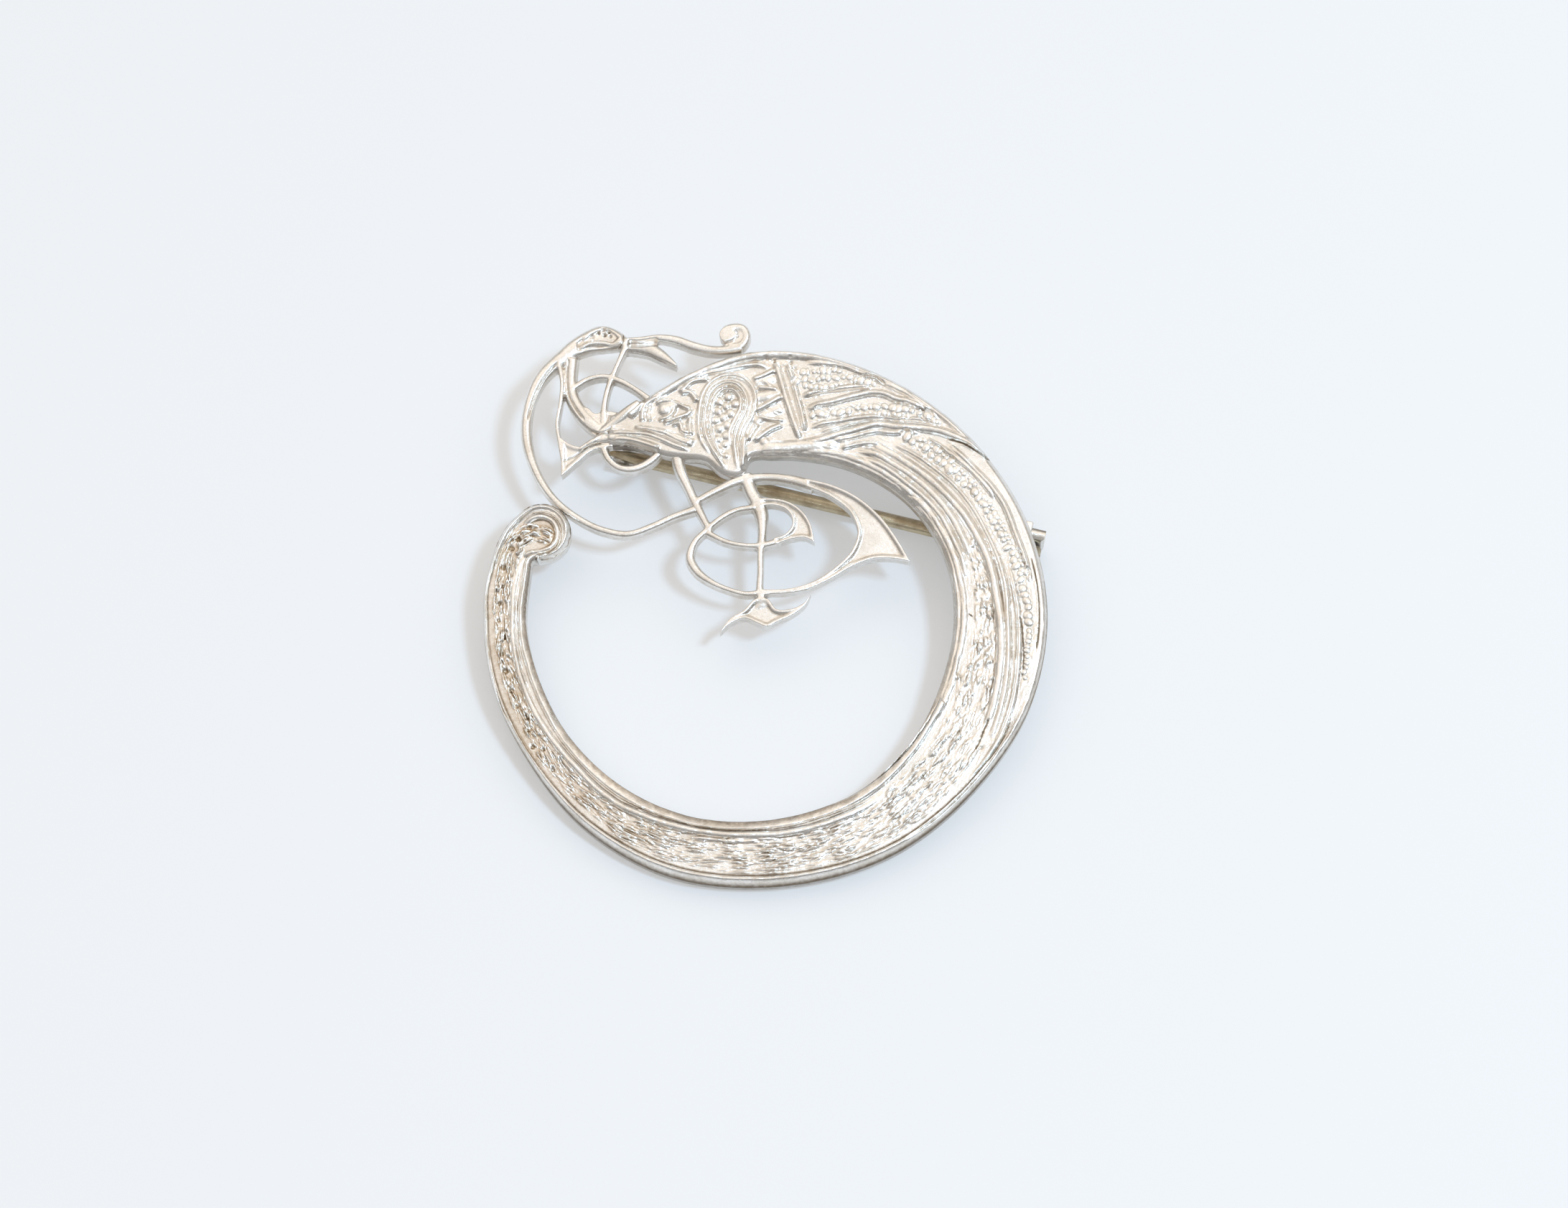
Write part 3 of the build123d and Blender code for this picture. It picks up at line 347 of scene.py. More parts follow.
# Cut lines of the relief: width, depth below the field, places along the line
GROOVES = {
    "body": [
        (0.16, 0.3, [(-9.2, 17.0), (-9.15, 18.1), (-8.5, 18.75), (-7.7, 18.8), (-7.0, 18.5), (-6.2, 18.1)]),
        (0.16, 0.3, [(-11.0, 16.1), (-9.5, 16.0), (-8.5, 15.6), (-7.5, 15.2), (-6.5, 14.7), (-5.8, 14.5)]),
        (0.14, 0.25, [(-8.0, 16.3), (-7.0, 16.8), (-6.3, 17.2)]),
        (0.16, 0.3, [(-5.05, 14.9), (-5.08, 16.5), (-5.0, 18.0), (-4.55, 19.3), (-3.9, 20.1), (-3.0, 20.3),
            (-2.0, 20.15), (-1.35, 19.6), (-1.05, 18.7), (-1.25, 17.4), (-1.8, 16.2), (-2.1, 15.0)]),
        (0.12, 0.25, [(1.5, 20.9), (1.8, 20.2), (2.1, 19.3), (2.35, 18.2), (2.7, 16.8), (3.0, 15.6)]),
        (0.2, 0.3, [(3.5, 21.35), (5.5, 21.3), (6.5, 21.1), (7.8, 20.55), (9.0, 20.4), (9.8, 19.7)]),
        (0.14, 0.25, [(3.1, 18.5), (4.0, 18.6), (5.0, 18.95), (6.5, 19.1), (8.0, 19.35), (9.3, 19.3)]),
        (0.14, 0.3, [(4.0, 17.8), (5.5, 17.95), (7.0, 18.35), (8.2, 18.5), (9.5, 18.4), (11.0, 18.0),
            (12.0, 17.7), (12.9, 17.3)]),
        (0.12, 0.2, [(5.0, 16.75), (6.0, 16.95), (7.0, 17.15), (8.5, 17.25), (10.5, 17.05), (12.5, 16.85)]),
        (0.18, 0.25, [(4.2, 15.5), (5.5, 15.85), (7.0, 16.3), (8.5, 16.6), (9.5, 16.65), (11.0, 16.5),
            (12.5, 16.38), (14.0, 16.0)]),
        (0.16, 0.35, [(14.0, 15.2), (15.4, 14.85), (16.1, 14.6), (16.8, 14.15), (17.6, 13.6)]),
        (0.16, 0.3, [(6.6, 14.6), (8.0, 15.15), (9.3, 15.35), (10.4, 14.9), (11.2, 15.3), (12.4, 15.4)]),
        (0.16, 0.3, [(-1.0, 13.95), (0.2, 14.05), (1.3, 14.05), (2.6, 14.1)]),
    ],
    "tail": [
        (0.14, 0.3, [(2.6, 14.05), (3.7, 13.9), (5.2, 13.7), (6.0, 13.5), (7.0, 13.2), (8.0, 12.75),
            (9.0, 12.2), (10.0, 11.4), (11.0, 10.6), (12.0, 9.75), (12.8, 8.9), (13.6, 7.7), (14.5, 5.8),
            (15.05, 4.3), (15.4, 2.5), (15.5, 0.0), (15.15, -2.5), (14.4, -5.0), (13.2, -7.9),
            (11.85, -9.9), (10.0, -12.0), (8.4, -13.3), (6.8, -14.3), (5.0, -15.1)]),
        (0.16, 0.32, [(10.8, 14.7), (12.0, 13.95), (13.2, 13.15), (14.4, 12.1), (15.6, 10.95), (16.9, 9.2),
            (18.3, 6.3), (19.25, 4.0), (19.7, 2.0), (19.8, 0.0), (19.75, -3.0), (19.5, -5.6), (18.9, -8.0),
            (18.0, -10.0)]),
        (0.14, 0.3, [(14.0, 14.3), (14.8, 13.5), (16.4, 12.3), (17.5, 10.9), (18.75, 9.0), (20.1, 6.1)]),
        (0.16, 0.34, [(17.25, 13.4), (17.6, 12.9), (18.4, 11.6), (19.2, 10.2), (19.95, 9.0), (20.75, 6.8),
            (21.3, 5.0), (21.6, 3.4), (21.8, 2.0), (21.85, 0.8), (21.65, -1.5), (21.3, -4.0), (20.9, -5.8),
            (20.2, -7.5), (19.4, -9.2), (18.3, -10.9), (17.2, -12.4), (15.9, -13.9), (14.4, -15.4),
            (13.0, -16.6), (11.0, -17.95)]),
        (0.14, 0.28, [(19.9, -7.0), (19.3, -8.6), (18.6, -10.0), (17.6, -11.5), (16.7, -12.7),
            (15.4, -14.1), (14.0, -15.4), (12.6, -16.5), (11.0, -17.55), (9.0, -18.45), (7.0, -19.2),
            (5.0, -19.85), (3.0, -20.25), (1.0, -20.35), (-1.0, -20.35), (-3.0, -20.25)]),
        (0.2, 0.32, [(-3.0, -20.25), (-5.0, -20.1), (-7.0, -19.75), (-9.0, -18.95), (-11.0, -17.9),
            (-13.0, -16.6), (-15.0, -14.95), (-16.5, -13.4), (-17.6, -12.0), (-18.6, -10.6), (-19.5, -9.1),
            (-20.3, -7.4), (-20.95, -5.7), (-21.5, -3.6), (-21.8, -1.8), (-21.93, 0.0), (-21.8, 1.8),
            (-21.6, 3.4)]),
        (0.1, 0.2, [(-22.1, -0.7), (-21.95, -2.3), (-21.65, -4.0), (-21.3, -5.4), (-20.8, -7.0),
            (-20.2, -8.2)]),
        (0.2, 0.32, [(15.5, -3.0), (15.1, -5.4), (14.2, -7.9), (13.1, -9.7), (11.8, -11.4), (10.4, -12.9),
            (9.0, -14.0), (7.5, -14.95), (6.0, -15.65), (4.0, -16.3), (2.0, -16.85), (0.0, -17.05),
            (-2.0, -17.1), (-4.0, -17.0), (-6.0, -16.6), (-8.0, -16.0), (-9.6, -15.35), (-11.3, -14.5),
            (-12.9, -13.3), (-14.3, -12.0), (-15.7, -10.4), (-17.0, -8.7), (-18.2, -6.8), (-19.1, -4.7),
            (-19.6, -2.9), (-19.85, -1.0), (-19.92, 0.8), (-19.85, 2.4), (-19.6, 4.0), (-19.25, 5.1)]),
        (0.1, 0.2, [(2.3, -17.6), (4.0, -17.3), (6.0, -16.65), (8.0, -15.65), (10.0, -14.3)]),
        (0.12, 0.3, [(16.5, 3.0), (16.62, 1.0), (16.6, -0.8)]),
    ],
    "scroll": [
        (0.2, 0.34, [(-21.6, 3.4), (-21.35, 5.2), (-20.8, 6.6), (-20.1, 7.75), (-19.3, 8.6), (-18.5, 9.05),
            (-17.6, 9.1), (-16.8, 8.6), (-16.4, 7.8), (-16.35, 7.0), (-16.7, 6.15), (-17.4, 5.65),
            (-18.3, 5.5)]),
        (0.16, 0.3, [(-19.0, 6.35), (-18.5, 6.15), (-17.95, 6.1)]),
    ],
}

# Near-black cracks: width, depth, places
CRACKS = [
    (0.17, 0.42, [(20.3, 0.1), (20.42, -0.5), (20.48, -1.6), (20.55, -2.6), (20.5, -3.8), (20.36, -4.8)]),
    (0.17, 0.42, [(21.3, 5.0), (21.6, 3.4), (21.8, 2.0), (21.86, 0.8), (21.8, -0.4), (21.72, -1.4),
        (21.55, -2.6)]),
    (0.14, 0.4, [(16.2, 0.4), (16.35, 0.2), (16.55, 0.15)]),
    (0.17, 0.4, [(17.65, -8.3), (17.35, -9.0), (16.95, -10.0), (16.6, -10.7)]),
    (0.17, 0.4, [(19.35, -8.5), (19.0, -9.3), (18.5, -10.2), (17.9, -11.2), (17.5, -11.7)]),
    (0.18, 0.4, [(14.8, 15.0), (15.4, 14.85), (16.1, 14.6), (16.8, 14.15), (17.6, 13.6), (18.05, 13.3)]),
    (0.17, 0.35, [(12.5, 17.7), (12.95, 17.4)]),
    (0.13, 0.35, [(-4.1, 22.75), (-3.2, 22.6), (-2.2, 22.7)]),
]

# Pits of the casting: x, y, radius
PITS = [
    (0.1, 22.15, 0.2), (0.75, 21.9, 0.22), (2.1, 22.2, 0.16), (2.15, 21.7, 0.2), (2.45, 21.2, 0.16),
    (15.3, -9.3, 0.2), (14.4, -11.0, 0.18), (17.1, -10.6, 0.18), (20.9, 1.8, 0.14), (-21.1, 1.6, 0.26),
    (-20.9, 3.0, 0.2), (-21.2, 0.2, 0.2), (-20.7, -1.2, 0.24), (-20.9, -2.6, 0.2), (-20.6, -4.0, 0.28),
    (-20.1, -5.6, 0.26), (-19.6, -6.9, 0.2), (-18.8, -7.8, 0.26), (-18.6, -8.8, 0.24), (-18.3, -10.2, 0.24),
    (-17.4, -10.4, 0.18), (-16.7, -12.1, 0.2), (-18.9, 7.9, 0.26), (-19.8, 7.0, 0.3), (-20.3, 6.2, 0.28),
    (-20.9, 4.6, 0.28), (-19.2, 6.6, 0.22),
]

# Rows of beads in the wing and the tail: radius, places along the row
BEAD_ROWS = [
    (0.33, [(2.7, 20.2), (4.4, 20.25), (5.5, 20.4), (6.5, 20.4), (7.5, 20.2), (8.9, 19.95)]),
    (0.26, [(3.2, 20.85), (4.6, 20.97), (6.0, 20.9)]),
    (0.26, [(3.3, 19.7), (4.3, 19.62), (6.2, 19.85)]),
    (0.36, [(3.9, 17.2), (5.3, 17.35), (6.6, 17.5), (7.8, 17.8), (9.3, 17.9), (10.7, 17.75), (11.9, 17.4),
        (13.0, 17.0)]),
    (0.24, [(9.2, 17.33), (10.5, 17.28), (11.6, 17.08)]),
    (0.22, [(13.3, 16.85), (14.2, 16.4)]),
    (0.37, [(11.6, 15.2), (12.5, 14.6), (13.6, 13.65), (14.7, 12.7), (15.7, 11.75), (16.6, 10.75),
        (17.4, 9.6), (18.1, 8.4), (18.9, 6.9), (19.6, 5.6), (20.15, 4.2), (20.55, 2.8), (20.85, 1.2),
        (21.0, -0.4)]),
    (0.25, [(12.5, 15.15), (14.2, 13.85), (15.6, 12.55), (16.8, 11.25), (17.8, 9.8), (18.7, 8.2),
        (19.5, 6.6), (20.3, 4.9), (20.8, 3.7)]),
    (0.27, [(20.98, -1.1), (20.85, -2.4), (20.7, -3.6), (20.5, -4.9)]),
]

# Large granules: in the boss, round it, and the pebble on the breast: x, y, radius
GRANULES = [
    (-2.95, 18.85, 0.42), (-3.65, 18.45, 0.38), (-2.4, 18.25, 0.38), (-3.1, 18.05, 0.36),
    (-3.75, 17.65, 0.38), (-2.75, 17.45, 0.4), (-3.35, 17.1, 0.38), (-3.95, 16.85, 0.34),
    (-3.0, 16.45, 0.42), (-3.65, 16.15, 0.38), (-3.1, 15.55, 0.38), (-3.75, 15.25, 0.32),
    (-3.2, 14.8, 0.32), (-3.55, 14.3, 0.28), (-3.1, 13.85, 0.26), (-8.05, 17.85, 0.6), (-7.6, 18.05, 0.55),
    (-6.1, 16.6, 0.3), (-5.95, 19.3, 0.28), (0.0, 15.0, 0.4),
]

# Fields of packed lumps: width of the band, lift, length and width of a lump, places along the band
LUMP_FIELDS = [
    (2.0, 0.36, 0.8, 0.42, [(17.3, 6.0), (17.5, 4.0), (17.55, 2.0), (17.5, -0.5), (17.2, -3.0),
        (16.9, -4.5)]),
    (3.6, 0.36, 1.8, 0.44, [(16.9, -4.5), (16.4, -7.0), (15.5, -9.5), (13.6, -12.5), (11.2, -14.9)]),
    (3.3, 0.36, 2.3, 0.27, [(12.0, -14.4), (9.2, -16.4), (6.5, -17.8), (3.6, -18.7), (0.8, -19.1)]),
    (3.0, 0.36, 2.0, 0.22, [(1.2, -19.1), (-2.0, -19.0), (-5.0, -18.6), (-8.0, -17.8), (-11.0, -16.3)]),
    (2.0, 0.36, 1.5, 0.28, [(-10.5, -16.5), (-13.0, -14.9), (-15.2, -12.9), (-17.0, -10.7)]),
    (1.6, 0.38, 0.8, 0.36, [(-16.7, -11.1), (-18.3, -8.6), (-19.6, -5.8), (-20.4, -3.0), (-20.8, 0.0),
        (-20.85, 2.7), (-20.5, 5.0), (-19.9, 6.6), (-18.9, 7.5), (-17.8, 7.4)]),
    (1.9, 0.2, 0.4, 0.36, [(2.9, 20.3), (5.0, 20.45), (7.0, 20.4), (9.2, 19.9)]),
    (1.1, 0.2, 0.36, 0.34, [(3.8, 17.1), (6.0, 17.4), (8.5, 17.7), (11.0, 17.5), (13.5, 16.8),
        (14.6, 16.2)]),
    (1.6, 0.2, 0.42, 0.38, [(11.8, 15.0), (13.6, 13.6), (15.6, 11.75), (17.4, 9.4), (18.9, 6.8),
        (20.1, 4.0), (20.85, 1.0), (20.9, -2.0), (20.5, -5.0)]),
    (1.2, 0.16, 0.5, 0.4, [(0.0, 22.1), (2.0, 22.0), (4.0, 22.0), (6.3, 21.35)]),
    (5.6, 0.15, 1.6, 0.22, [(3.0, 17.6), (6.0, 18.0), (9.0, 18.0), (13.0, 16.2)]),
    (7.4, 0.15, 1.8, 0.22, [(5.5, 13.8), (9.0, 13.4), (12.0, 12.0), (15.0, 9.5), (17.0, 6.5), (18.4, 3.0),
        (18.7, 0.0), (18.3, -4.0), (16.6, -8.5)]),
    (4.6, 0.13, 0.9, 0.24, [(-11.6, 16.2), (-9.0, 16.9), (-6.2, 18.0), (-4.6, 20.0), (-1.0, 21.0)]),
    (3.4, 0.13, 0.8, 0.24, [(-0.2, 14.0), (0.2, 17.0), (0.2, 20.4)]),
]

# Brown stain that lies in the hollows: width, strength, places
STAINS = [
    (3.4, 0.3, [(-12.0, 16.2), (-9.0, 17.4), (-6.0, 18.6), (-2.0, 20.0), (0.5, 19.0)]),
    (1.5, 0.9, [(-20.9, 5.6), (-21.1, 3.0), (-21.2, 0.0), (-21.1, -2.0), (-20.5, -4.5), (-19.8, -6.6),
        (-18.9, -8.6), (-17.9, -10.4)]),
    (1.6, 0.7, [(-17.6, -11.0), (-16.2, -12.6), (-14.2, -14.4), (-11.6, -16.4), (-9.0, -17.6)]),
    (1.6, 1.0, [(-20.6, 6.0), (-19.6, 7.3), (-18.4, 7.7), (-17.5, 7.4), (-17.3, 6.8)]),
    (1.6, 0.9, [(-0.6, 21.5), (0.6, 22.0), (2.0, 21.9), (3.2, 22.0)]),
    (1.2, 0.5, [(-0.2, 20.4), (0.2, 19.0), (0.6, 17.4), (0.6, 15.9)]),
    (0.7, 0.6, [(4.0, 18.6), (6.5, 19.0), (8.6, 19.3)]),
    (3.4, 0.45, [(8.0, -17.0), (4.0, -18.5), (0.0, -18.9), (-4.0, -18.6), (-8.0, -17.6), (-11.0, -16.2)]),
    (2.6, 0.3, [(17.4, 4.0), (17.4, 0.0), (16.8, -4.5), (15.4, -9.5), (12.5, -13.6)]),
    (0.6, 0.5, [(15.45, 2.6), (15.5, 0.0), (15.1, -2.8), (14.4, -5.2)]),
]

# Strands of the openwork: x, y, width, and where it isn't WIRE_THICKNESS the height
HEAD = [(-16.9, 22.2, 1.2), (-15.8, 23.2, 1.6), (-14.5, 23.9, 2.0), (-13.3, 24.25, 2.3), (-12.3, 24.1, 1.9),
        (-11.4, 23.8, 1.1)]
CURL = [(-2.9, 23.3, 0.9), (-1.9, 23.5, 0.85), (-1.5, 24.2, 0.75), (-1.8, 24.9, 0.8), (-2.55, 25.0, 0.84),
        (-3.15, 24.75, 0.95), (-3.2, 24.3, 1.0)]
BREAST_RIM = [(-15.0, 14.6, 0.45, 1.35), (-13.8, 15.3, 0.6, 1.5), (-12.6, 15.55, 0.75, 1.7),
              (-11.6, 15.45, 0.7, 1.78), (-10.6, 15.2, 0.4, 1.6)]
CREST_WIRE = [(-11.4, 23.95, 0.6), (-10.0, 24.05, 0.6), (-8.7, 24.2, 0.65), (-7.3, 24.0, 0.85),
              (-5.8, 23.45, 0.9), (-4.4, 23.1, 0.85), (-3.0, 23.1, 0.85), (-1.9, 23.3, 0.9)]
CREST_LOOP = [(-16.6, 22.6, 1.3), (-18.2, 20.95, 1.15), (-19.15, 18.6, 0.9), (-19.35, 16.0, 0.9),
              (-18.65, 13.2, 0.75), (-17.25, 10.75, 0.65), (-15.3, 9.0, 0.6), (-13.0, 7.8, 0.6),
              (-11.0, 7.45, 0.6), (-9.0, 8.1, 0.6), (-7.4, 8.85, 0.6), (-5.6, 9.5, 0.7)]
NECK = [(-15.8, 22.5, 1.25), (-15.85, 20.9, 1.15), (-15.75, 19.5, 1.15), (-15.35, 18.5, 1.25),
        (-14.75, 17.6, 1.3), (-14.0, 16.8, 1.3), (-13.0, 16.1, 1.2), (-12.0, 15.8, 1.0)]
SHOULDER = [(-13.4, 15.9, 0.6, 1.4), (-12.5, 16.6, 0.9, 1.55), (-11.6, 17.3, 1.0, 1.75),
            (-10.9, 17.9, 0.8, 1.85), (-10.2, 18.5, 0.5, 1.8)]
STRAND = [(-16.8, 22.2, 0.4), (-16.5, 20.4, 0.35), (-16.6, 18.6, 0.35), (-16.85, 16.8, 0.35),
          (-16.6, 15.2, 0.35), (-16.25, 13.3, 0.4)]
BEAK_STRUT = [(-11.4, 23.3, 0.55), (-11.9, 22.1, 0.45), (-12.4, 20.9, 0.5)]
ARCH = [(-15.6, 19.9, 0.5), (-14.4, 20.65, 0.5), (-13.2, 20.9, 0.5), (-11.9, 20.55, 0.55),
        (-10.6, 19.8, 0.5), (-9.4, 18.9, 0.6)]
NECK_STRUT = [(-12.5, 20.7, 0.5), (-12.9, 19.2, 0.5), (-13.05, 18.2, 0.55), (-13.05, 17.4, 0.8),
              (-13.0, 16.4, 1.0)]
JAW_LOOP = [(-13.1, 14.8, 0.6), (-12.6, 13.75, 0.6), (-11.7, 13.05, 0.62), (-10.7, 12.95, 0.7),
            (-9.7, 13.3, 0.72), (-8.9, 13.9, 0.7), (-8.3, 14.6, 0.6)]
LEG = [(-7.2, 14.4, 1.1), (-6.8, 12.7, 0.95), (-6.15, 11.25, 0.8), (-5.6, 10.0, 0.8), (-5.05, 8.9, 0.65),
       (-4.4, 7.6, 0.55)]
THIGH_ARC = [(-5.6, 10.1, 0.6), (-4.0, 11.0, 0.7), (-2.0, 11.9, 0.85), (0.0, 12.15, 0.75),
             (2.0, 11.95, 0.85), (3.9, 11.4, 1.0)]
LEFT_LOOP = [(-0.2, 2.45, 0.5), (-1.5, 2.35, 0.45), (-3.0, 2.75, 0.45), (-4.35, 3.4, 0.55),
             (-5.45, 4.3, 0.75), (-6.0, 5.4, 0.8), (-5.7, 6.6, 0.6), (-4.8, 7.6, 0.5), (-3.6, 8.65, 0.5),
             (-2.3, 9.35, 0.5), (-0.8, 9.6, 0.5)]
INNER_ARC = [(-4.6, 7.5, 0.5), (-3.2, 6.75, 0.45), (-1.7, 6.4, 0.42), (-0.2, 6.4, 0.5), (1.2, 6.75, 0.6)]
SHAFT = [(-1.6, 12.4, 1.2), (-1.05, 10.8, 1.15), (-0.55, 9.9, 1.25), (-0.27, 9.0, 1.15), (-0.2, 8.0, 0.85),
         (-0.25, 6.9, 0.7), (-0.35, 5.8, 0.6), (-0.35, 4.2, 0.55), (-0.4, 2.6, 0.65), (-0.1, 1.2, 1.0)]

# Plates of the openwork: their smooth edges, each a list of places
BEAK = [[(-8.85, 24.1), (-8.75, 23.4), (-8.15, 22.6), (-7.1, 21.85)],
        [(-7.2, 21.55), (-8.4, 22.05), (-9.5, 22.6), (-10.6, 22.85), (-11.6, 22.95)],
        [(-11.6, 22.95), (-11.7, 24.1)]]
BEAK_LEAF = [(-11.5, 23.5, 0.9), (-10.4, 23.4, 0.95), (-9.4, 23.25, 1.25), (-8.7, 22.85, 1.1),
             (-7.9, 22.3, 0.7), (-7.2, 21.75, 0.25)]
BILL = [[(-16.45, 12.3), (-15.2, 13.45), (-14.0, 14.45), (-12.3, 14.85)], [(-12.3, 14.85), (-12.3, 16.4)],
        [(-12.3, 16.4), (-13.6, 15.8), (-14.3, 15.1), (-15.0, 14.85), (-15.7, 15.05), (-16.5, 15.6)],
        [(-16.5, 15.6), (-16.45, 12.3)]]
CRESCENT = [[(3.3, 11.95), (5.2, 11.45), (7.2, 10.5), (9.2, 8.75), (10.8, 6.45), (11.65, 4.85)],
            [(11.65, 4.85), (10.3, 5.1), (9.0, 5.15), (7.3, 4.65), (5.3, 3.5), (3.3, 2.6), (-0.2, 2.2)],
            [(-0.2, 2.65), (2.1, 2.75), (3.9, 3.3), (5.7, 4.5), (7.05, 6.0), (7.45, 7.4), (6.95, 8.9),
             (5.4, 10.3), (3.3, 11.3)]]
CUSP = [[(-0.6, 10.3), (0.6, 10.3), (2.0, 9.95), (3.0, 9.2), (3.65, 8.2), (4.0, 6.55)],
        [(4.0, 6.55), (3.2, 6.95), (2.2, 6.85), (0.9, 6.4)],
        [(0.7, 6.95), (1.5, 7.2), (2.15, 7.9), (2.15, 8.75), (1.7, 9.35), (0.95, 9.65), (-0.6, 9.65)]]
FOOT = [[(3.8, 2.5), (3.1, 1.5), (2.0, 1.0), (0.9, 1.05), (0.2, 1.9), (-0.7, 1.9), (-1.7, 0.95),
         (-2.8, 0.25), (-3.7, -1.05)],
        [(-3.7, -1.05), (-2.8, -0.2), (-1.6, 0.25), (-0.6, -0.15), (0.15, -0.45), (0.9, -0.1), (2.2, 0.5),
         (3.2, 1.3), (3.8, 2.5)]]

# Strands of the two openwork pieces, the discs of the crest's ball, and how thick the thinner plates are
HEAD_STRANDS = (HEAD, CREST_WIRE, CREST_LOOP, NECK, STRAND, BEAK_STRUT, ARCH, NECK_STRUT, JAW_LOOP, CURL,
                BREAST_RIM, SHOULDER)
LEG_STRANDS = (LEG, THIGH_ARC, LEFT_LOOP, INNER_ARC, SHAFT)
BALL_DISCS = [((-2.57, 24.25), 1.0, 1.18), ((-3.0, 24.35), 0.7, 1.3)]
BEAK_THICKNESS = 1.0
JUNCTION_THICKNESS = 1.15

# The thin plate behind the neck, and the sunk top of the head
JUNCTION = [[(-15.2, 18.3), (-14.4, 18.25), (-13.8, 17.75), (-13.3, 17.8), (-12.9, 17.9), (-12.3, 17.85),
             (-11.6, 17.8), (-11.0, 18.0), (-10.2, 18.6)],
            [(-10.2, 18.6), (-9.9, 17.2), (-10.6, 15.9), (-12.4, 15.6), (-13.7, 15.8), (-14.6, 16.9),
             (-15.2, 18.3)]]
HEAD_AREA = [[(-15.6, 23.9), (-14.5, 24.75), (-13.3, 25.25), (-12.2, 24.95), (-11.6, 24.3)],
             [(-11.6, 24.3), (-12.2, 23.4), (-13.3, 23.2), (-14.4, 23.1), (-15.3, 22.9), (-15.6, 23.9)]]

# Dished tops: depth, width of the raised edge, width of its slope, the plate's edges
HEAD_DISHES = [(0.2, 0.1, 0.25, HEAD_AREA), (0.14, 0.16, 0.3, BILL)]
LEG_DISHES = [(0.22, 0.14, 0.3, CRESCENT), (0.2, 0.12, 0.25, CUSP), (0.22, 0.14, 0.3, FOOT)]

# Lines that stand in the dishes, and lines cut into them: width, share or depth, places
HEAD_RIDGES = [(0.5, 1.0, [(-14.9, 24.1), (-14.2, 24.75), (-13.1, 25.1), (-12.2, 24.75), (-11.7, 24.2)]),
               (0.45, 1.0, [(-15.2, 23.2), (-14.3, 23.7), (-13.2, 23.75), (-12.3, 23.6), (-11.8, 24.1)]),
               (0.4, 0.9, [(-12.4, 23.1), (-12.0, 23.8), (-11.6, 24.5)])]
LEG_RIDGES = [(1.2, 1.0, [row[:2] for row in SHAFT])]
HEAD_CUTS = [(0.22, 0.2, [(-16.9, 22.1), (-17.9, 20.9), (-18.75, 19.1), (-19.25, 17.2)]),
             (0.22, 0.2, [(-16.0, 22.4), (-16.05, 20.6), (-15.9, 19.3), (-15.4, 18.2), (-14.6, 17.1)]),
             (0.22, 0.15, [(-14.3, 16.3), (-13.4, 15.95), (-12.4, 16.1), (-11.2, 16.3)]),
             (0.16, 0.2, [(-11.6, 24.6), (-11.55, 23.9), (-11.9, 23.3)]),
             (0.7, 0.35, [(-11.2, 23.7), (-10.4, 23.6), (-9.5, 23.7), (-8.7, 23.85)]),
             (0.2, 0.25, [(-16.3, 13.6), (-15.2, 14.15), (-14.2, 14.9), (-13.0, 15.2)]),
             (0.2, 0.15, [(-3.4, 23.6), (-2.6, 23.85), (-2.15, 24.3), (-2.5, 24.75)])]

# Small pits in the head: x, y, radius, depth
HEAD_PITS = [(-13.2, 24.95, 0.22, 0.2), (-12.75, 24.75, 0.2, 0.2), (-13.1, 24.5, 0.24, 0.25),
             (-12.6, 24.35, 0.18, 0.15), (-13.6, 24.65, 0.2, 0.16), (-14.1, 24.3, 0.26, 0.12)]

# Section of a cast strand: share of the half width, and height above (in shares of the top's rounding)
STRAND_TOP = [
    (np.sign(cos(turn)) * abs(cos(turn)) ** 0.9, sin(turn) ** 0.92) for turn in np.linspace(0, pi, 13)
]
STRAND_FOOT = [(-1.0, 0.16), (-0.85, 0.0), (0.85, 0.0), (1.0, 0.16)]


def plan_to_world():
    """The matrix from flat millimetres to where the brooch lies, read from the frame's hinge and pin."""
    hinge_row = frame["joints"][0]
    across = -Vector(hinge_row["axis"])
    normal = PIN_IN_WORLD.cross(across)
    along_x, along_y = PIN_IN_WORLD.xy
    flat = Matrix(((along_x, along_y, 0), (-along_y, along_x, 0), (0, 0, 1)))
    leaned = Matrix((PIN_IN_WORLD, across, normal)).transposed()
    place = Matrix.Translation(Vector(hinge_row["pos_m"])) @ (leaned @ flat).to_4x4()
    return place @ Matrix.Scale(0.001, 4) @ Matrix.Translation(-HINGE_PLAN)


PIN_IN_WORLD = -Vector(frame["record"]["mounts"][0]["axis"])
PLACE = plan_to_world()
UP = Vector((0, 0, 1))


# Lines and distances on the plan

def ramp(value, start, end):
    """0 up to the start, 1 from the end on, and a straight rise between them."""
    return np.clip((value - start) / (end - start), 0, 1)


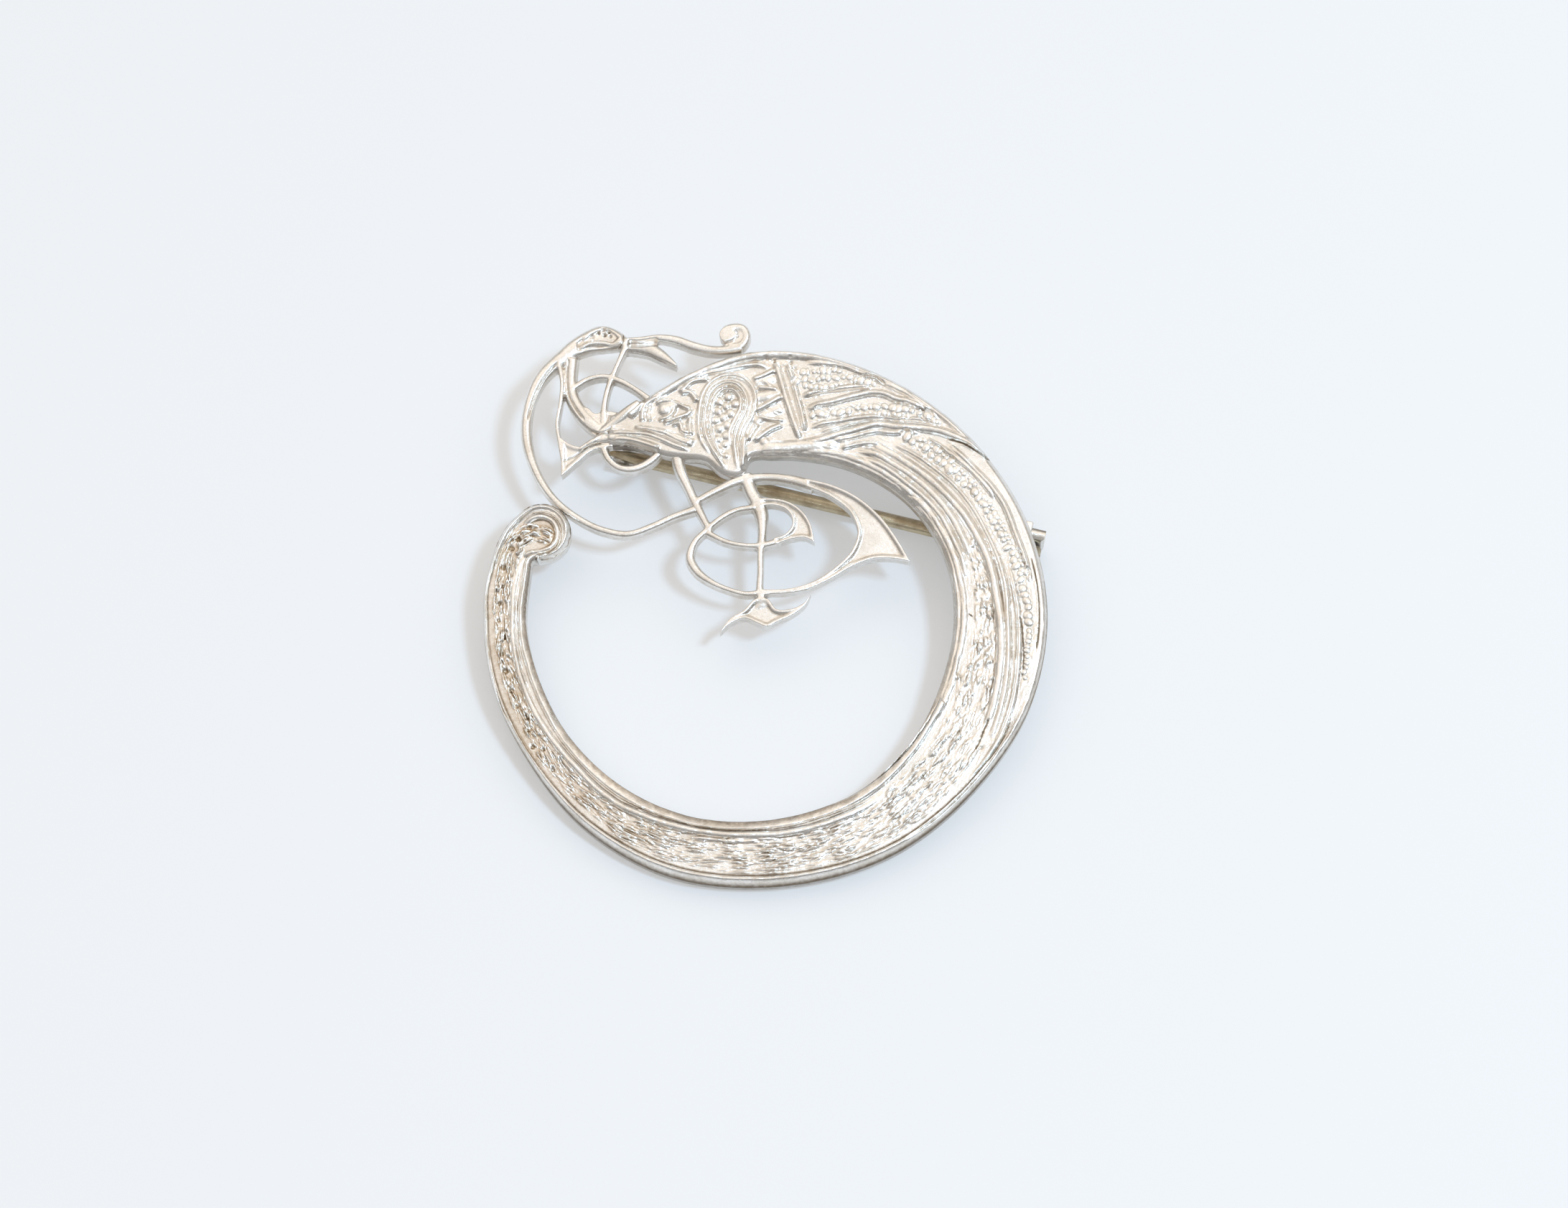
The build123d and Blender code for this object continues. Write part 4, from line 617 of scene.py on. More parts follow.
def smooth_line(rows, step):
    """A smooth line through a few rows, sampled evenly. Columns after x and y are carried along."""
    rows = np.asarray(rows, float)
    gaps = np.hypot(*(rows[1:, :2] - rows[:-1, :2]).T)
    place = np.concatenate([[0], np.cumsum(gaps)])
    if len(rows) > 2:
        slopes = np.gradient(rows, place, axis=0)
    else:
        slopes = np.repeat((rows[1:] - rows[:-1]) / gaps[:, None], 2, axis=0)
    count = max(int(round(place[-1] / step)), 1)
    at = np.linspace(0, place[-1], count + 1)
    i = np.clip(np.searchsorted(place, at, side="right") - 1, 0, len(rows) - 2)
    gap = gaps[i][:, None]
    s = ((at - place[i]) / gaps[i])[:, None]
    start, end = rows[i], rows[i + 1]
    return (
        (2 * s**3 - 3 * s**2 + 1) * start
        + (s**3 - 2 * s**2 + s) * gap * slopes[i]
        + (3 * s**2 - 2 * s**3) * end
        + (s**3 - s**2) * gap * slopes[i + 1]
    )


def off_line(x, y, line, reach):
    """Distance from each place to a line, at most the reach, and how far along it the nearest point is."""
    near = np.full(x.shape, float(reach))
    share = np.zeros(x.shape)
    low = line[:, :2].min(0) - reach
    high = line[:, :2].max(0) + reach
    inside = (x > low[0]) & (x < high[0]) & (y > low[1]) & (y < high[1])
    px, py = x[inside], y[inside]
    best = np.full(px.shape, float(reach) ** 2)
    along = np.zeros(px.shape)
    for i, (start, step) in enumerate(zip(line[:-1, :2], np.diff(line[:, :2], axis=0))):
        part = np.clip(((px - start[0]) * step[0] + (py - start[1]) * step[1]) / (step @ step), 0, 1)
        far = (px - start[0] - part * step[0]) ** 2 + (py - start[1] - part * step[1]) ** 2
        closer = far < best
        best[closer] = far[closer]
        along[closer] = i + part[closer]
    near[inside] = np.sqrt(best)
    share[inside] = along / (len(line) - 1)
    return near, share


def raised_line(x, y, width, height, rows):
    """The height that one rounded line adds at each place, running out at the line's two ends."""
    near, share = off_line(x, y, smooth_line(rows, LINE_STEP), width / 2)
    ends = np.clip(np.minimum(share, 1 - share) / LINE_FADE, 0, 1) ** 0.5
    return height * ends * np.clip(1 - (near / (width / 2)) ** 2, 0, 1) ** 0.7


def lines_over(x, y, group):
    """The highest of many rounded lines at each place."""
    total = np.zeros(x.shape)
    for row in group:
        total = np.maximum(total, raised_line(x, y, *row))
    return total


# The casting's plate: a closed strip from the breast round the ring to the scroll

def edge_stations():
    """Inner and outer edge at even steps along the whole casting, with the slopes along both edges."""
    rows = [(*row, *BODY_SLOPES) for row in BODY_KEYS]
    for angle, outer_r, inner_r, *slopes in RING_KEYS:
        c, s = cos(radians(angle)), sin(radians(angle))
        rows.append((inner_r * c, inner_r * s, outer_r * c, outer_r * s, *slopes))
    rows += [(*row, *SCROLL_SLOPES) for row in SCROLL_KEYS]
    rows = np.array(rows)
    middle = (rows[:, 0:2] + rows[:, 2:4]) / 2
    half = (rows[:, 2:4] - rows[:, 0:2]) / 2
    line = smooth_line(np.hstack([middle, half, rows[:, 4:]]), STATION_STEP)
    return line[:, 0:2] - line[:, 2:4], line[:, 0:2] + line[:, 2:4], line[:, 4:8]


def bead_places():
    """Every bead of the rows with its own small shift and size: x, y, radius."""
    rng = np.random.default_rng(5)
    beads = []
    for radius, rows in BEAD_ROWS:
        for x, y in smooth_line(rows, BEAD_SPACING * radius):
            shift = rng.normal(0, BEAD_SHIFT * radius, 2)
            beads.append((x + shift[0], y + shift[1], radius * rng.uniform(*BEAD_SIZES)))
    return beads


INNER_EDGE, OUTER_EDGE, EDGE_SLOPES = edge_stations()
BEADS = bead_places()


def low_side(y):
    """How much painted shade, with some tarnish, the outer side takes: all of it at the bottom of the ring,
    and less towards the top.
    """
    return 0.3 + 0.7 * ramp(y, -6, -14)


def slope_drop(distance, width, drop, rounding):
    """How far a slope has dropped at a distance from the edge. A rounding of 1 is a plain chamfer."""
    return drop * (1 - np.clip(distance / width, 0, 1)) ** rounding


def edge_rim(where, near, slope_width, fall):
    """A rounded rim along an edge: level over the slope's width, then falling to the field."""
    share = np.clip((near - slope_width) / fall, 0, 1)
    return RIDGE_MOST * where * (1 - share**2) ** 0.7


def ripple(x, y, size, seed):
    """Slow uneven waves of a hand-finished surface, from about -1 to 1."""
    rng = np.random.default_rng(seed)
    total = np.zeros(x.shape)
    turns, lengths, shifts = (rng.uniform(*ends, WAVES) for ends in ((0, tau), WAVE_LENGTHS, (0, tau)))
    for turn, length, shift in zip(turns, lengths, shifts):
        total += np.sin((x * cos(turn) + y * sin(turn)) * tau / (size * length) + shift)
    return total / WAVES_PEAK


def packed_lumps(along, across, length, width, seed):
    """Lumps that fill a field, each a little different, with creases where they meet."""
    rng = np.random.default_rng(seed)
    # Places in cells of one lump each, bent by slow waves
    s = along / length + 0.25 * ripple(along, across, 1.1, seed + 1)
    t = across / width + 0.3 * ripple(along, across, 1.4, seed + 2) + 3
    s -= min(s.min(), 0)
    i, j = np.floor(s).astype(int), np.floor(t).astype(int)
    shape = (i.max() + 3, j.max() + 3)
    where_s, where_t = rng.uniform(0.1, 0.9, shape), rng.uniform(0.1, 0.9, shape)
    level = rng.uniform(0.45, 1.0, shape)
    # The nearest lump is in the place's own cell or one beside it
    nearest = np.full(along.shape, 9.0)
    height = np.zeros(along.shape)
    for di, dj in np.ndindex(3, 3):
        cell = (i + di, j + dj)
        far = (s - i - di + 1 - where_s[cell]) ** 2 + (t - j - dj + 1 - where_t[cell]) ** 2
        closer = far < nearest
        nearest[closer] = far[closer]
        height[closer] = level[cell][closer]
    return height * np.clip(1 - nearest / 0.5, 0, 1) ** 0.6


def tool_marks(x, y, mask, rng):
    """Short fine cuts of the chaser's tools, laid along the casting."""
    marks = np.zeros(x.shape)
    spacing = np.hypot(x[:, -1] - x[:, 0], y[:, -1] - y[:, 0]) / (x.shape[1] - 1)
    chances = (mask * spacing[:, None]).ravel()
    count = int(chances.sum() * STATION_STEP * CUTS_PER_MM2)
    for pick in rng.choice(mask.size, size=count, p=chances / chances.sum()):
        i, j = divmod(int(pick), mask.shape[1])
        i2 = min(i + 1, mask.shape[0] - 1)
        run = np.array([x[i2, j] - x[i2 - 1, j], y[i2, j] - y[i2 - 1, j]])
        run = run / (np.hypot(*run) + 1e-9)
        turn = rng.normal(0, CUT_TURN)
        run = np.array([run[0] * cos(turn) - run[1] * sin(turn), run[0] * sin(turn) + run[1] * cos(turn)])
        length, width, depth = (rng.uniform(*ends) for ends in (CUT_LENGTHS, CUT_WIDTHS, CUT_DEPTHS))
        reach = int(length / STATION_STEP) + 2
        wide = int(length * 0.5 / spacing[i]) + 3
        rows, columns = slice(max(i - reach, 0), i + reach), slice(max(j - wide, 0), j + wide + 1)
        dx, dy = x[rows, columns] - x[i, j], y[rows, columns] - y[i, j]
        along = (dx * run[0] + dy * run[1]) / length
        across = (dy * run[0] - dx * run[1]) / width
        cut = depth * np.clip(1 - along**2 - across**2, 0, 1)
        marks[rows, columns] = np.maximum(marks[rows, columns], cut * mask[rows, columns])
    return marks


def lumps_and_roughness(x, y, along):
    """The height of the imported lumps, and how rough the field is worked, at each place."""
    across = np.hypot(x - x[:, :1], y - y[:, :1])
    lumps = np.zeros(x.shape)
    rough = np.zeros(x.shape)
    for number, (width, lift, length, wide, rows) in enumerate(LUMP_FIELDS):
        near, _ = off_line(x, y, smooth_line(rows, 0.6), width / 2 + FIELD_FADE)
        mask = np.clip((width / 2 + FIELD_FADE / 2 - near) / FIELD_FADE, 0, 1)
        coarse = packed_lumps(along, across, length, wide, 40 + number)
        fine = packed_lumps(along, across, 0.5 * length, 0.55 * wide, 60 + number)
        lumps = np.maximum(lumps, lift * mask * (0.7 * coarse + 0.45 * fine * coarse + 0.1 * fine))
        rough = np.maximum(rough, mask * min(1.0, lift / ROUGH_LIFT))
    return lumps, rough


def beads_granules_and_pits(x, y, height):
    """A height with hollows for the beads, the large granules and the pits."""
    for px, py, radius in BEADS:
        near = np.hypot(x - px, y - py) / radius
        hollowed = np.minimum(height, FIELD_HEIGHT + 0.5 * np.clip(near - 0.95, 0, 1))
        height = np.where(near < 1.5, hollowed, height)
    for px, py, radius in GRANULES:
        near = np.hypot(x - px, y - py) / radius
        height = np.maximum(height, FIELD_HEIGHT + 0.1 + 0.6 * radius * np.clip(1 - near**2, 0, 1) ** 0.6)
    for px, py, radius in PITS:
        height = height - 0.7 * radius * np.clip(1 - (np.hypot(x - px, y - py) / radius) ** 2, 0, 1)
    return height


def relief_dirt_and_shade(x, y, first, last, seed):
    """The face of the casting as one height, and how much dirt and painted shade each place takes."""
    # Where a place lies: how near to both edges, on the ring's lower part, and away from its left end
    outer_near, _ = off_line(x, y, OUTER_EDGE[::4], EDGE_REACH)
    inner_near, _ = off_line(x, y, INNER_EDGE[::4], EDGE_REACH)
    outer_width, outer_drop, inner_width, inner_drop = EDGE_SLOPES[first:last].T[:, :, None]
    lower = np.maximum(ramp(y, -6, -10), ramp(x, -15, -17))
    away = np.maximum(ramp(x, -20, -12), LEFT_DIRT_AND_SHADE_SHARE)

    # Raised lines, cut lines, packed lumps and tool cuts
    ridges = edge_rim(lower, outer_near, outer_width, OUTER_RIM_FALL * outer_width)
    ridges = np.maximum(ridges, edge_rim(INNER_RIM_SHARE * lower, inner_near, inner_width, INNER_RIM_FALL))
    for name, group in RIDGES.items():
        for width, rise, rows in group:
            full = width * RIDGE_FULLNESS[name]
            ridges = np.maximum(ridges, raised_line(x, y, full, min(rise * RIDGE_RISE, RIDGE_MOST), rows))
    from_foot = (outer_near - FOOT_PLACE * outer_width) / FOOT_WIDTH
    foot = FOOT_DEPTH * lower * away * np.clip(1 - from_foot**2, 0, 1)
    grooves = foot
    for group in GROOVES.values():
        grooves = np.maximum(grooves, lines_over(x, y, group))
    cracks = lines_over(x, y, CRACKS)
    along = (np.arange(first, last) * STATION_STEP)[:, None] + np.zeros(x.shape)
    lumps, rough = lumps_and_roughness(x, y, along)
    open_field = np.clip(1 - ridges / 0.45, 0, 1)
    marks = tool_marks(x, y, rough * open_field, np.random.default_rng(seed))

    # All of them together, sloped along both edges, and no higher than a wire where the neck joins
    height = FIELD_HEIGHT + 0.035 * ripple(x, y, 1.6, 3) + 0.012 * ripple(x, y, 0.5, 4)
    height += np.maximum(ridges, lumps * np.clip(1.3 - ridges / 0.5, 0, 1))
    height -= grooves + cracks
    height = beads_granules_and_pits(x, y, height - marks)
    height = np.clip(height, LOWEST_FACE, HIGHEST_FACE)
    height -= slope_drop(outer_near, outer_width, outer_drop, OUTER_ROUNDING)
    height -= slope_drop(inner_near, inner_width, inner_drop, INNER_ROUNDING)
    neck = np.where(y > 12, ramp(x, -12.7, -11.5), 1)
    height = np.minimum(height, WIRE_THICKNESS - 0.1 + 0.9 * neck**0.7)

    # Dirt and painted shade in the cracks, cuts and foot groove, tarnish on the ground of the bird and of
    # the left part of the ring, and painted shade with some tarnish on the slopes
    bird = ramp(x, 3, 2.5) * ramp(y, 12, 12.5)
    left = ramp(x, -8, -14) * ramp(y, 12, 11.5)
    ground = (BIRD_GROUND_TARNISH * bird + LEFT_GROUND_TARNISH * left) * np.clip(1 - ridges / 0.25, 0, 1)
    dirt_and_shade = CRACK_DIRT_AND_SHADE * cracks + CUT_DIRT_AND_SHADE * away * marks + foot + ground
    outer_slope = np.clip(1.3 - 1.3 * outer_near / outer_width, 0, 1)
    inner_slope = np.clip(1.5 - 1.5 * inner_near / inner_width, 0, 1)
    dirt_and_shade += (OUTER_SIDE_SHADE_AND_TARNISH - LEVEL) * low_side(y) * outer_slope
    dirt_and_shade += INNER_SLOPE_SHADE_AND_TARNISH * lower * inner_slope
    return height, dirt_and_shade


def blurred(height, rounds_along, rounds_across):
    """A height averaged along the stations and across them."""
    for count in (rounds_along, rounds_across):
        for _ in range(count):
            held = np.vstack([height[:1], height, height[-1:]])
            height = 0.25 * held[:-2] + 0.5 * held[1:-1] + 0.25 * held[2:]
        height = height.T
    return height


def store(mesh, name, values):
    """Keeps a value from 0 to 1 at each vertex, for the materials to read."""
    mesh.attributes.new(name, "FLOAT", "POINT").data.foreach_set("value", np.clip(values, 0, 1).ravel())


def plate_strip(name, first, last, columns, seed):
    """One length of the casting's plate: relief on top, two walls and the back, welded and closed."""
    start, end = max(first - SPARE_STATIONS, 0), min(last + SPARE_STATIONS, len(INNER_EDGE))
    inner, outer = INNER_EDGE[start:end], OUTER_EDGE[start:end]
    share = np.linspace(0, 1, columns)
    x, y = (inner[:, None] + share[:, None] * (outer - inner)[:, None]).transpose(2, 0, 1)
    z, dirt_and_shade = relief_dirt_and_shade(x, y, start, end, seed)
    # A place is hollow when it lies below its surroundings, and is darkened there with patina and painted
    # shade. The wing is rubbed cleaner than the rest.
    wide, fine = blurred(z, *WIDE_BLUR) - z, blurred(z, *FINE_BLUR) - z
    rubbed = RUBBED_CLEAN * ramp(y, 1, 9) * ramp(x, -12, -6)
    hollow = LEVEL + (wide / WIDE_DEPTH + fine / FINE_DEPTH + dirt_and_shade) * (1 - rubbed)

    # The section of the strip, once round: face, outer wall, back, inner wall
    kept = slice(first - start, last - start)
    z, hollow, inner, outer = z[kept], hollow[kept], inner[kept], outer[kept]
    chamfer = np.minimum(BACK_CHAMFER / np.hypot(*(outer - inner).T)[:, None], 0.3)
    wall = np.linspace(1, 0, WALL_ROWS + 1)[1:]
    outer_wall = BACK_CHAMFER + wall * (z[:, -1:] - BACK_CHAMFER)
    inner_wall = BACK_CHAMFER + wall[::-1] * (z[:, :1] - BACK_CHAMFER)
    back = 1 - chamfer - np.linspace(0, 1, BACK_COLUMNS) * (1 - 2 * chamfer)
    across = [np.broadcast_to(share, z.shape), np.ones((len(z), WALL_ROWS)), back]
    across = np.hstack(across + [np.zeros((len(z), WALL_ROWS + 1))])
    heights = np.hstack([z, outer_wall, np.zeros(back.shape), inner_wall, z[:, :1]])
    places = np.empty((*across.shape, 3))
    places[..., :2] = inner[:, None] + across[..., None] * (outer - inner)[:, None]
    places[..., 2] = heights

    # Painted shade, with some tarnish, on the walls and the back, and a painted shadow on the inner wall
    # under the breast. The outer wall's lowest row stays at LEVEL, a thin light edge
    breast = ramp(inner[:, :1], -8, -11) * (inner[:, 1:] > 12)
    hollows = INNER_SIDE_SHADE_AND_TARNISH + 0.3 * breast + np.zeros(heights.shape)
    hollows[:, :columns] = hollow
    wall_end = columns + WALL_ROWS - 1
    hollows[:, columns:wall_end] = LEVEL + (OUTER_SIDE_SHADE_AND_TARNISH - LEVEL) * low_side(outer[:, 1:])
    hollows[:, wall_end] = LEVEL
    return closed_strip(name, places, hollows)


def closed_strip(name, places, hollows):
    """A mesh from a grid of places that meets itself along its length, with its two ends filled."""
    shaped = bmesh.new()
    rows, columns = hollows.shape
    bmesh.ops.create_grid(shaped, x_segments=columns - 1, y_segments=rows - 1, size=1)
    mesh = bpy.data.meshes.new(name)
    shaped.to_mesh(mesh)
    mesh.vertices.foreach_set("co", places.ravel())
    store(mesh, "hollow", hollows)
    shaped.clear()
    shaped.from_mesh(mesh)
    bmesh.ops.remove_doubles(shaped, verts=shaped.verts[:], dist=WELD)
    open_ends = [edge for edge in shaped.edges if edge.is_boundary]
    bmesh.ops.holes_fill(shaped, edges=open_ends, sides=0)
    for edge in open_ends:
        edge.smooth = False
    bmesh.ops.recalc_face_normals(shaped, faces=shaped.faces[:])
    shaped.to_mesh(mesh)
    shaped.free()
    return mesh


# Openwork: strands and small plates joined into one skin

def outline_of(edges):
    """One closed line round a plate, from its smooth edges."""
    outline = np.vstack([smooth_line(rows, 0.15) for rows in edges])
    gaps = np.hypot(*(outline - np.roll(outline, 1, axis=0)).T)
    outline = outline[gaps > 0.02]
    return np.vstack([outline, outline[:1]])


def of_kind(items, kind):
    """The vertices, edges or faces among what a bmesh operator gives back."""
    return [item for item in items if isinstance(item, kind)]


def drawn_out(shaped, faces, lift, keep_faces=True):
    """Extrudes faces by a vector and gives the new vertices."""
    grown = bmesh.ops.extrude_face_region(shaped, geom=faces, use_keep_orig=keep_faces)
    tops = of_kind(grown["geom"], bmesh.types.BMVert)
    bmesh.ops.translate(shaped, verts=tops, vec=lift)
    return tops


def add_strand(shaped, rows):
    """A cast strand along a smooth line, with its own width (and height) at each station."""
    line = smooth_line(rows, 0.2)
    run = np.gradient(line[:, :2], axis=0)
    side = np.stack([-run[:, 1], run[:, 0]], axis=1) / np.hypot(*run.T)[:, None]
    section = STRAND_TOP + STRAND_FOOT + STRAND_TOP[:1]
    grid = bmesh.ops.create_grid(shaped, x_segments=len(section) - 1, y_segments=len(line) - 1, size=1)
    for vert, (i, j) in zip(grid["verts"], np.ndindex(len(line), len(section))):
        half = line[i, 2] / 2
        thickness = line[i, 3] if line.shape[1] > 3 else WIRE_THICKNESS
        rounding = min(half * 1.15, 0.65)
        on_top = j < len(STRAND_TOP) or j == len(section) - 1
        z = thickness - rounding * (1 - section[j][1]) if on_top else section[j][1]
        vert.co = (*(line[i, :2] + side[i] * section[j][0] * half), z)
    bmesh.ops.remove_doubles(shaped, verts=grid["verts"], dist=WELD)


def add_plate(shaped, edges, thickness=WIRE_THICKNESS):
    """A flat plate between smooth edges, given as lists of places."""
    corners = [shaped.verts.new((*place, 0.0)) for place in outline_of(edges)[:-1]]
    sides = [shaped.edges.new(pair) for pair in zip(corners, corners[1:] + corners[:1])]
    filled = bmesh.ops.triangle_fill(shaped, edges=sides, use_beauty=True, use_dissolve=False)
    drawn_out(shaped, of_kind(filled["geom"], bmesh.types.BMFace), (0, 0, thickness))


def add_disc(shaped, centre, radius, thickness):
    """A thick round plate."""
    place = Matrix.Translation((*centre, 0))
    lower = bmesh.ops.create_circle(shaped, cap_ends=True, segments=64, radius=radius, matrix=place)
    faces = list({face for vert in lower["verts"] for face in vert.link_faces})
    drawn_out(shaped, faces, (0, 0, thickness))


def joined_skin(name, shaped):
    """One closed skin over everything in a bmesh, softened as a casting is."""
    bmesh.ops.holes_fill(shaped, edges=[e for e in shaped.edges if e.is_boundary], sides=0)
    rough = mesh_of(name + "_rough", shaped)
    holder = bpy.data.objects.new(name + "_rough", rough)
    bpy.context.scene.collection.objects.link(holder)
    remesh = holder.modifiers.new("one_skin", "REMESH")
    remesh.mode = "VOXEL"
    remesh.voxel_size = VOXEL
    remesh.use_smooth_shade = True
    seen = holder.evaluated_get(bpy.context.evaluated_depsgraph_get())
    mesh = bpy.data.meshes.new_from_object(seen)
    mesh.name = name
    bpy.data.objects.remove(holder)
    bpy.data.meshes.remove(rough)
    places, _, edges = mesh_arrays(mesh)
    move_to(mesh, spread(places, edges, 2))
    return mesh


def mesh_of(name, shaped):
    """A mesh from a bmesh with its faces turned outwards."""
    bmesh.ops.recalc_face_normals(shaped, faces=shaped.faces[:])
    mesh = bpy.data.meshes.new(name)
    shaped.to_mesh(mesh)
    shaped.free()
    return mesh


def mesh_arrays(mesh):
    """Places, normals and edges of a mesh as arrays."""
    count = len(mesh.vertices)
    places, normals = np.empty(count * 3), np.empty(count * 3)
    mesh.vertices.foreach_get("co", places)
    mesh.vertex_normals.foreach_get("vector", normals)
    edges = np.empty(len(mesh.edges) * 2, dtype=np.int64)
    mesh.edges.foreach_get("vertices", edges)
    return places.reshape(-1, 3), normals.reshape(-1, 3), edges.reshape(-1, 2)


def move_to(mesh, places):
    """Moves a mesh's vertices to new places."""
    mesh.vertices.foreach_set("co", places.ravel())
    mesh.update()


def spread(values, edges, rounds):
    """Values averaged with their neighbours' a number of times."""
    count = len(values)
    links = np.bincount(edges.ravel(), minlength=count)[:, None].clip(1)
    for _ in range(rounds):
        total = np.empty_like(values)
        for column in range(values.shape[1]):
            total[:, column] = np.bincount(edges[:, 0], values[edges[:, 1], column], count)
            total[:, column] += np.bincount(edges[:, 1], values[edges[:, 0], column], count)
        values = 0.5 * values + 0.5 * total / links
    return values


def add_hollows(mesh, rounds):
    """Stores how far each place lies below (over LEVEL) or above (under LEVEL) what surrounds it, for
    patina and painted shade, and adds painted shade on the steep sides.
    """
    if "hollow" in mesh.attributes:
        return
    places, normals, edges = mesh_arrays(mesh)
    lift = ((spread(places, edges, rounds) - places) * normals).sum(1)
    # Painted shade, with some tarnish, on the steep sides of the skin
    sides = (WIRE_SIDE_SHADE_AND_TARNISH - LEVEL) * np.clip(1.2 - 1.5 * np.abs(normals[:, 2:3]), 0, 1)
    store(mesh, "hollow", LEVEL + lift / SKIN_DEPTH + spread(sides, edges, 2)[:, 0])


def stain_over(mesh):
    """The stain at each place of a mesh, from the table of stained bands."""
    places, _, _ = mesh_arrays(mesh)
    total = np.zeros(len(places))
    for width, strength, rows in STAINS:
        near, _ = off_line(places[:, 0], places[:, 1], smooth_line(rows, 0.6), width)
        total = np.maximum(total, strength * np.clip(1.4 - 1.4 * near / width, 0, 1))
    return total


# Relief of the openwork, cut down from its flat top

def within(x, y, outline):
    """How far inside a closed line each place lies, or 0 outside it."""
    odd = np.zeros(x.shape, bool)
    for (x1, y1), (x2, y2) in zip(outline[:-1, :2], outline[1:, :2]):
        if y1 != y2:
            odd ^= ((y1 > y) != (y2 > y)) & (x < (x2 - x1) * (y - y1) / (y2 - y1) + x1)
    near, _ = off_line(x, y, outline, 3.0)
    return near * odd


def carve(mesh, dishes, ridges, cuts=(), pits=()):
    """Lowers the top of a skin inside its dishes, all but the ridges, and sinks its cut lines and pits."""
    places, _, _ = mesh_arrays(mesh)
    x, y, z = places.T
    drop = np.zeros(x.shape)
    for depth, rim, slope, plate_edges in dishes:
        share = np.clip((within(x, y, outline_of(plate_edges)) - rim) / slope, 0, 1)
        drop = np.maximum(drop, depth * share * share * (3 - 2 * share))
    drop *= 1 - np.clip(lines_over(x, y, ridges), 0, 1)
    drop = np.maximum(drop, lines_over(x, y, cuts))
    for px, py, radius, depth in pits:
        drop += depth * np.clip(1 - ((x - px) ** 2 + (y - py) ** 2) / radius**2, 0, 1)
    places[:, 2] -= drop * np.clip((z - 0.7) / 0.4, 0, 1)
    move_to(mesh, places)


# Materials

def feed(tree, slot, value):
    """Gives an input a value, or links it to another node's output."""
    if hasattr(value, "links"):
        tree.links.new(value, slot)
    else:
        slot.default_value = value


def node(tree, kind, **settings):
    """A node with some of its settings and inputs given by name."""
    made = tree.nodes.new(kind)
    for key, value in settings.items():
        if key in made.inputs:
            feed(tree, made.inputs[key], value)
        else:
            setattr(made, key, value)
    return made


def millimetre_grain(tree, size, detail, roughness=0.6, stretch=(1, 1, 1)):
    """Noise whose pattern is a number of millimetres across, on the object's own coordinates."""
    place = node(tree, "ShaderNodeTexCoord").outputs["Object"]
    scaled = node(tree, "ShaderNodeMapping", Vector=place, Scale=tuple(1000 / size * s for s in stretch))
    noise = node(tree, "ShaderNodeTexNoise", Vector=scaled.outputs["Vector"], Scale=1.0, Detail=detail,
                 Roughness=roughness)
    return noise.outputs["Fac"]


def calculated(tree, operation, *values):
    """The result of an operation on values, each a number or another node's output."""
    made = node(tree, "ShaderNodeMath", operation=operation)
    for slot, value in zip(made.inputs, values):
        feed(tree, slot, value)
    return made.outputs[0]


def span(tree, value, low, high):
    """A value taken softly from one span to 0 to 1."""
    ends = {"From Min": low, "From Max": high}
    made = node(tree, "ShaderNodeMapRange", interpolation_type="SMOOTHSTEP", Value=value, **ends)
    return made.outputs["Result"]


def blended(tree, factor, first, second, blend_type="MIX"):
    """Two colours mixed by a factor."""
    made = node(tree, "ShaderNodeMix", data_type="RGBA", blend_type=blend_type)
    for number, value in ((0, factor), (6, first), (7, second)):
        feed(tree, made.inputs[number], value)
    return made.outputs[2]


def new_group(name, colours, floats, result, result_kind):
    """A node group with its named inputs, its one output, and the nodes at its two ends."""
    group = bpy.data.node_groups.new(name, "ShaderNodeTree")
    given, made = group.nodes.new("NodeGroupInput"), group.nodes.new("NodeGroupOutput")
    for names, kind in ((colours, "NodeSocketColor"), (floats, "NodeSocketFloat")):
        for title in names:
            group.interface.new_socket(name=title, in_out="INPUT", socket_type=kind)
    group.interface.new_socket(name=result, in_out="OUTPUT", socket_type=result_kind)
    return group, given.outputs, made.inputs[result]


def tarnish_and_shade_group():
    """Tarnish and painted shade: dulls in clouds, darkens hollows with patina and painted shade, stains
    what is marked and adds fine specks.
    """
    group, given, result = new_group(
        "tarnish_and_shade", ("Clean", "Dull", "Deep", "Stained"), ("Hollow", "Stain", "Amount", "Specks"),
        "Colour", "NodeSocketColor",
    )
    cloud = millimetre_grain(group, 2.2, 4)
    dull = calculated(group, "MULTIPLY", span(group, cloud, 0.38, 0.68), given["Amount"])
    colour = blended(group, dull, given["Clean"], given["Dull"])
    spots = calculated(group, "MULTIPLY_ADD", millimetre_grain(group, 0.35, 3), 0.25, -0.125)
    depth = calculated(group, "ADD", given["Hollow"], spots)
    stained = calculated(group, "MULTIPLY", given["Stain"], span(group, depth, 0.48, 0.78))
    colour = blended(group, stained, colour, given["Stained"])
    # Patina and painted shade: the deepest places turn to the Deep colour
    colour = blended(group, span(group, depth, 0.6, 1.08), colour, given["Deep"])
    specks = span(group, millimetre_grain(group, 0.1, 3, 0.7), 0.5, 0.72)
    specks = calculated(group, "MULTIPLY", specks, given["Specks"])
    group.links.new(blended(group, specks, colour, given["Stained"]), result)
    return group


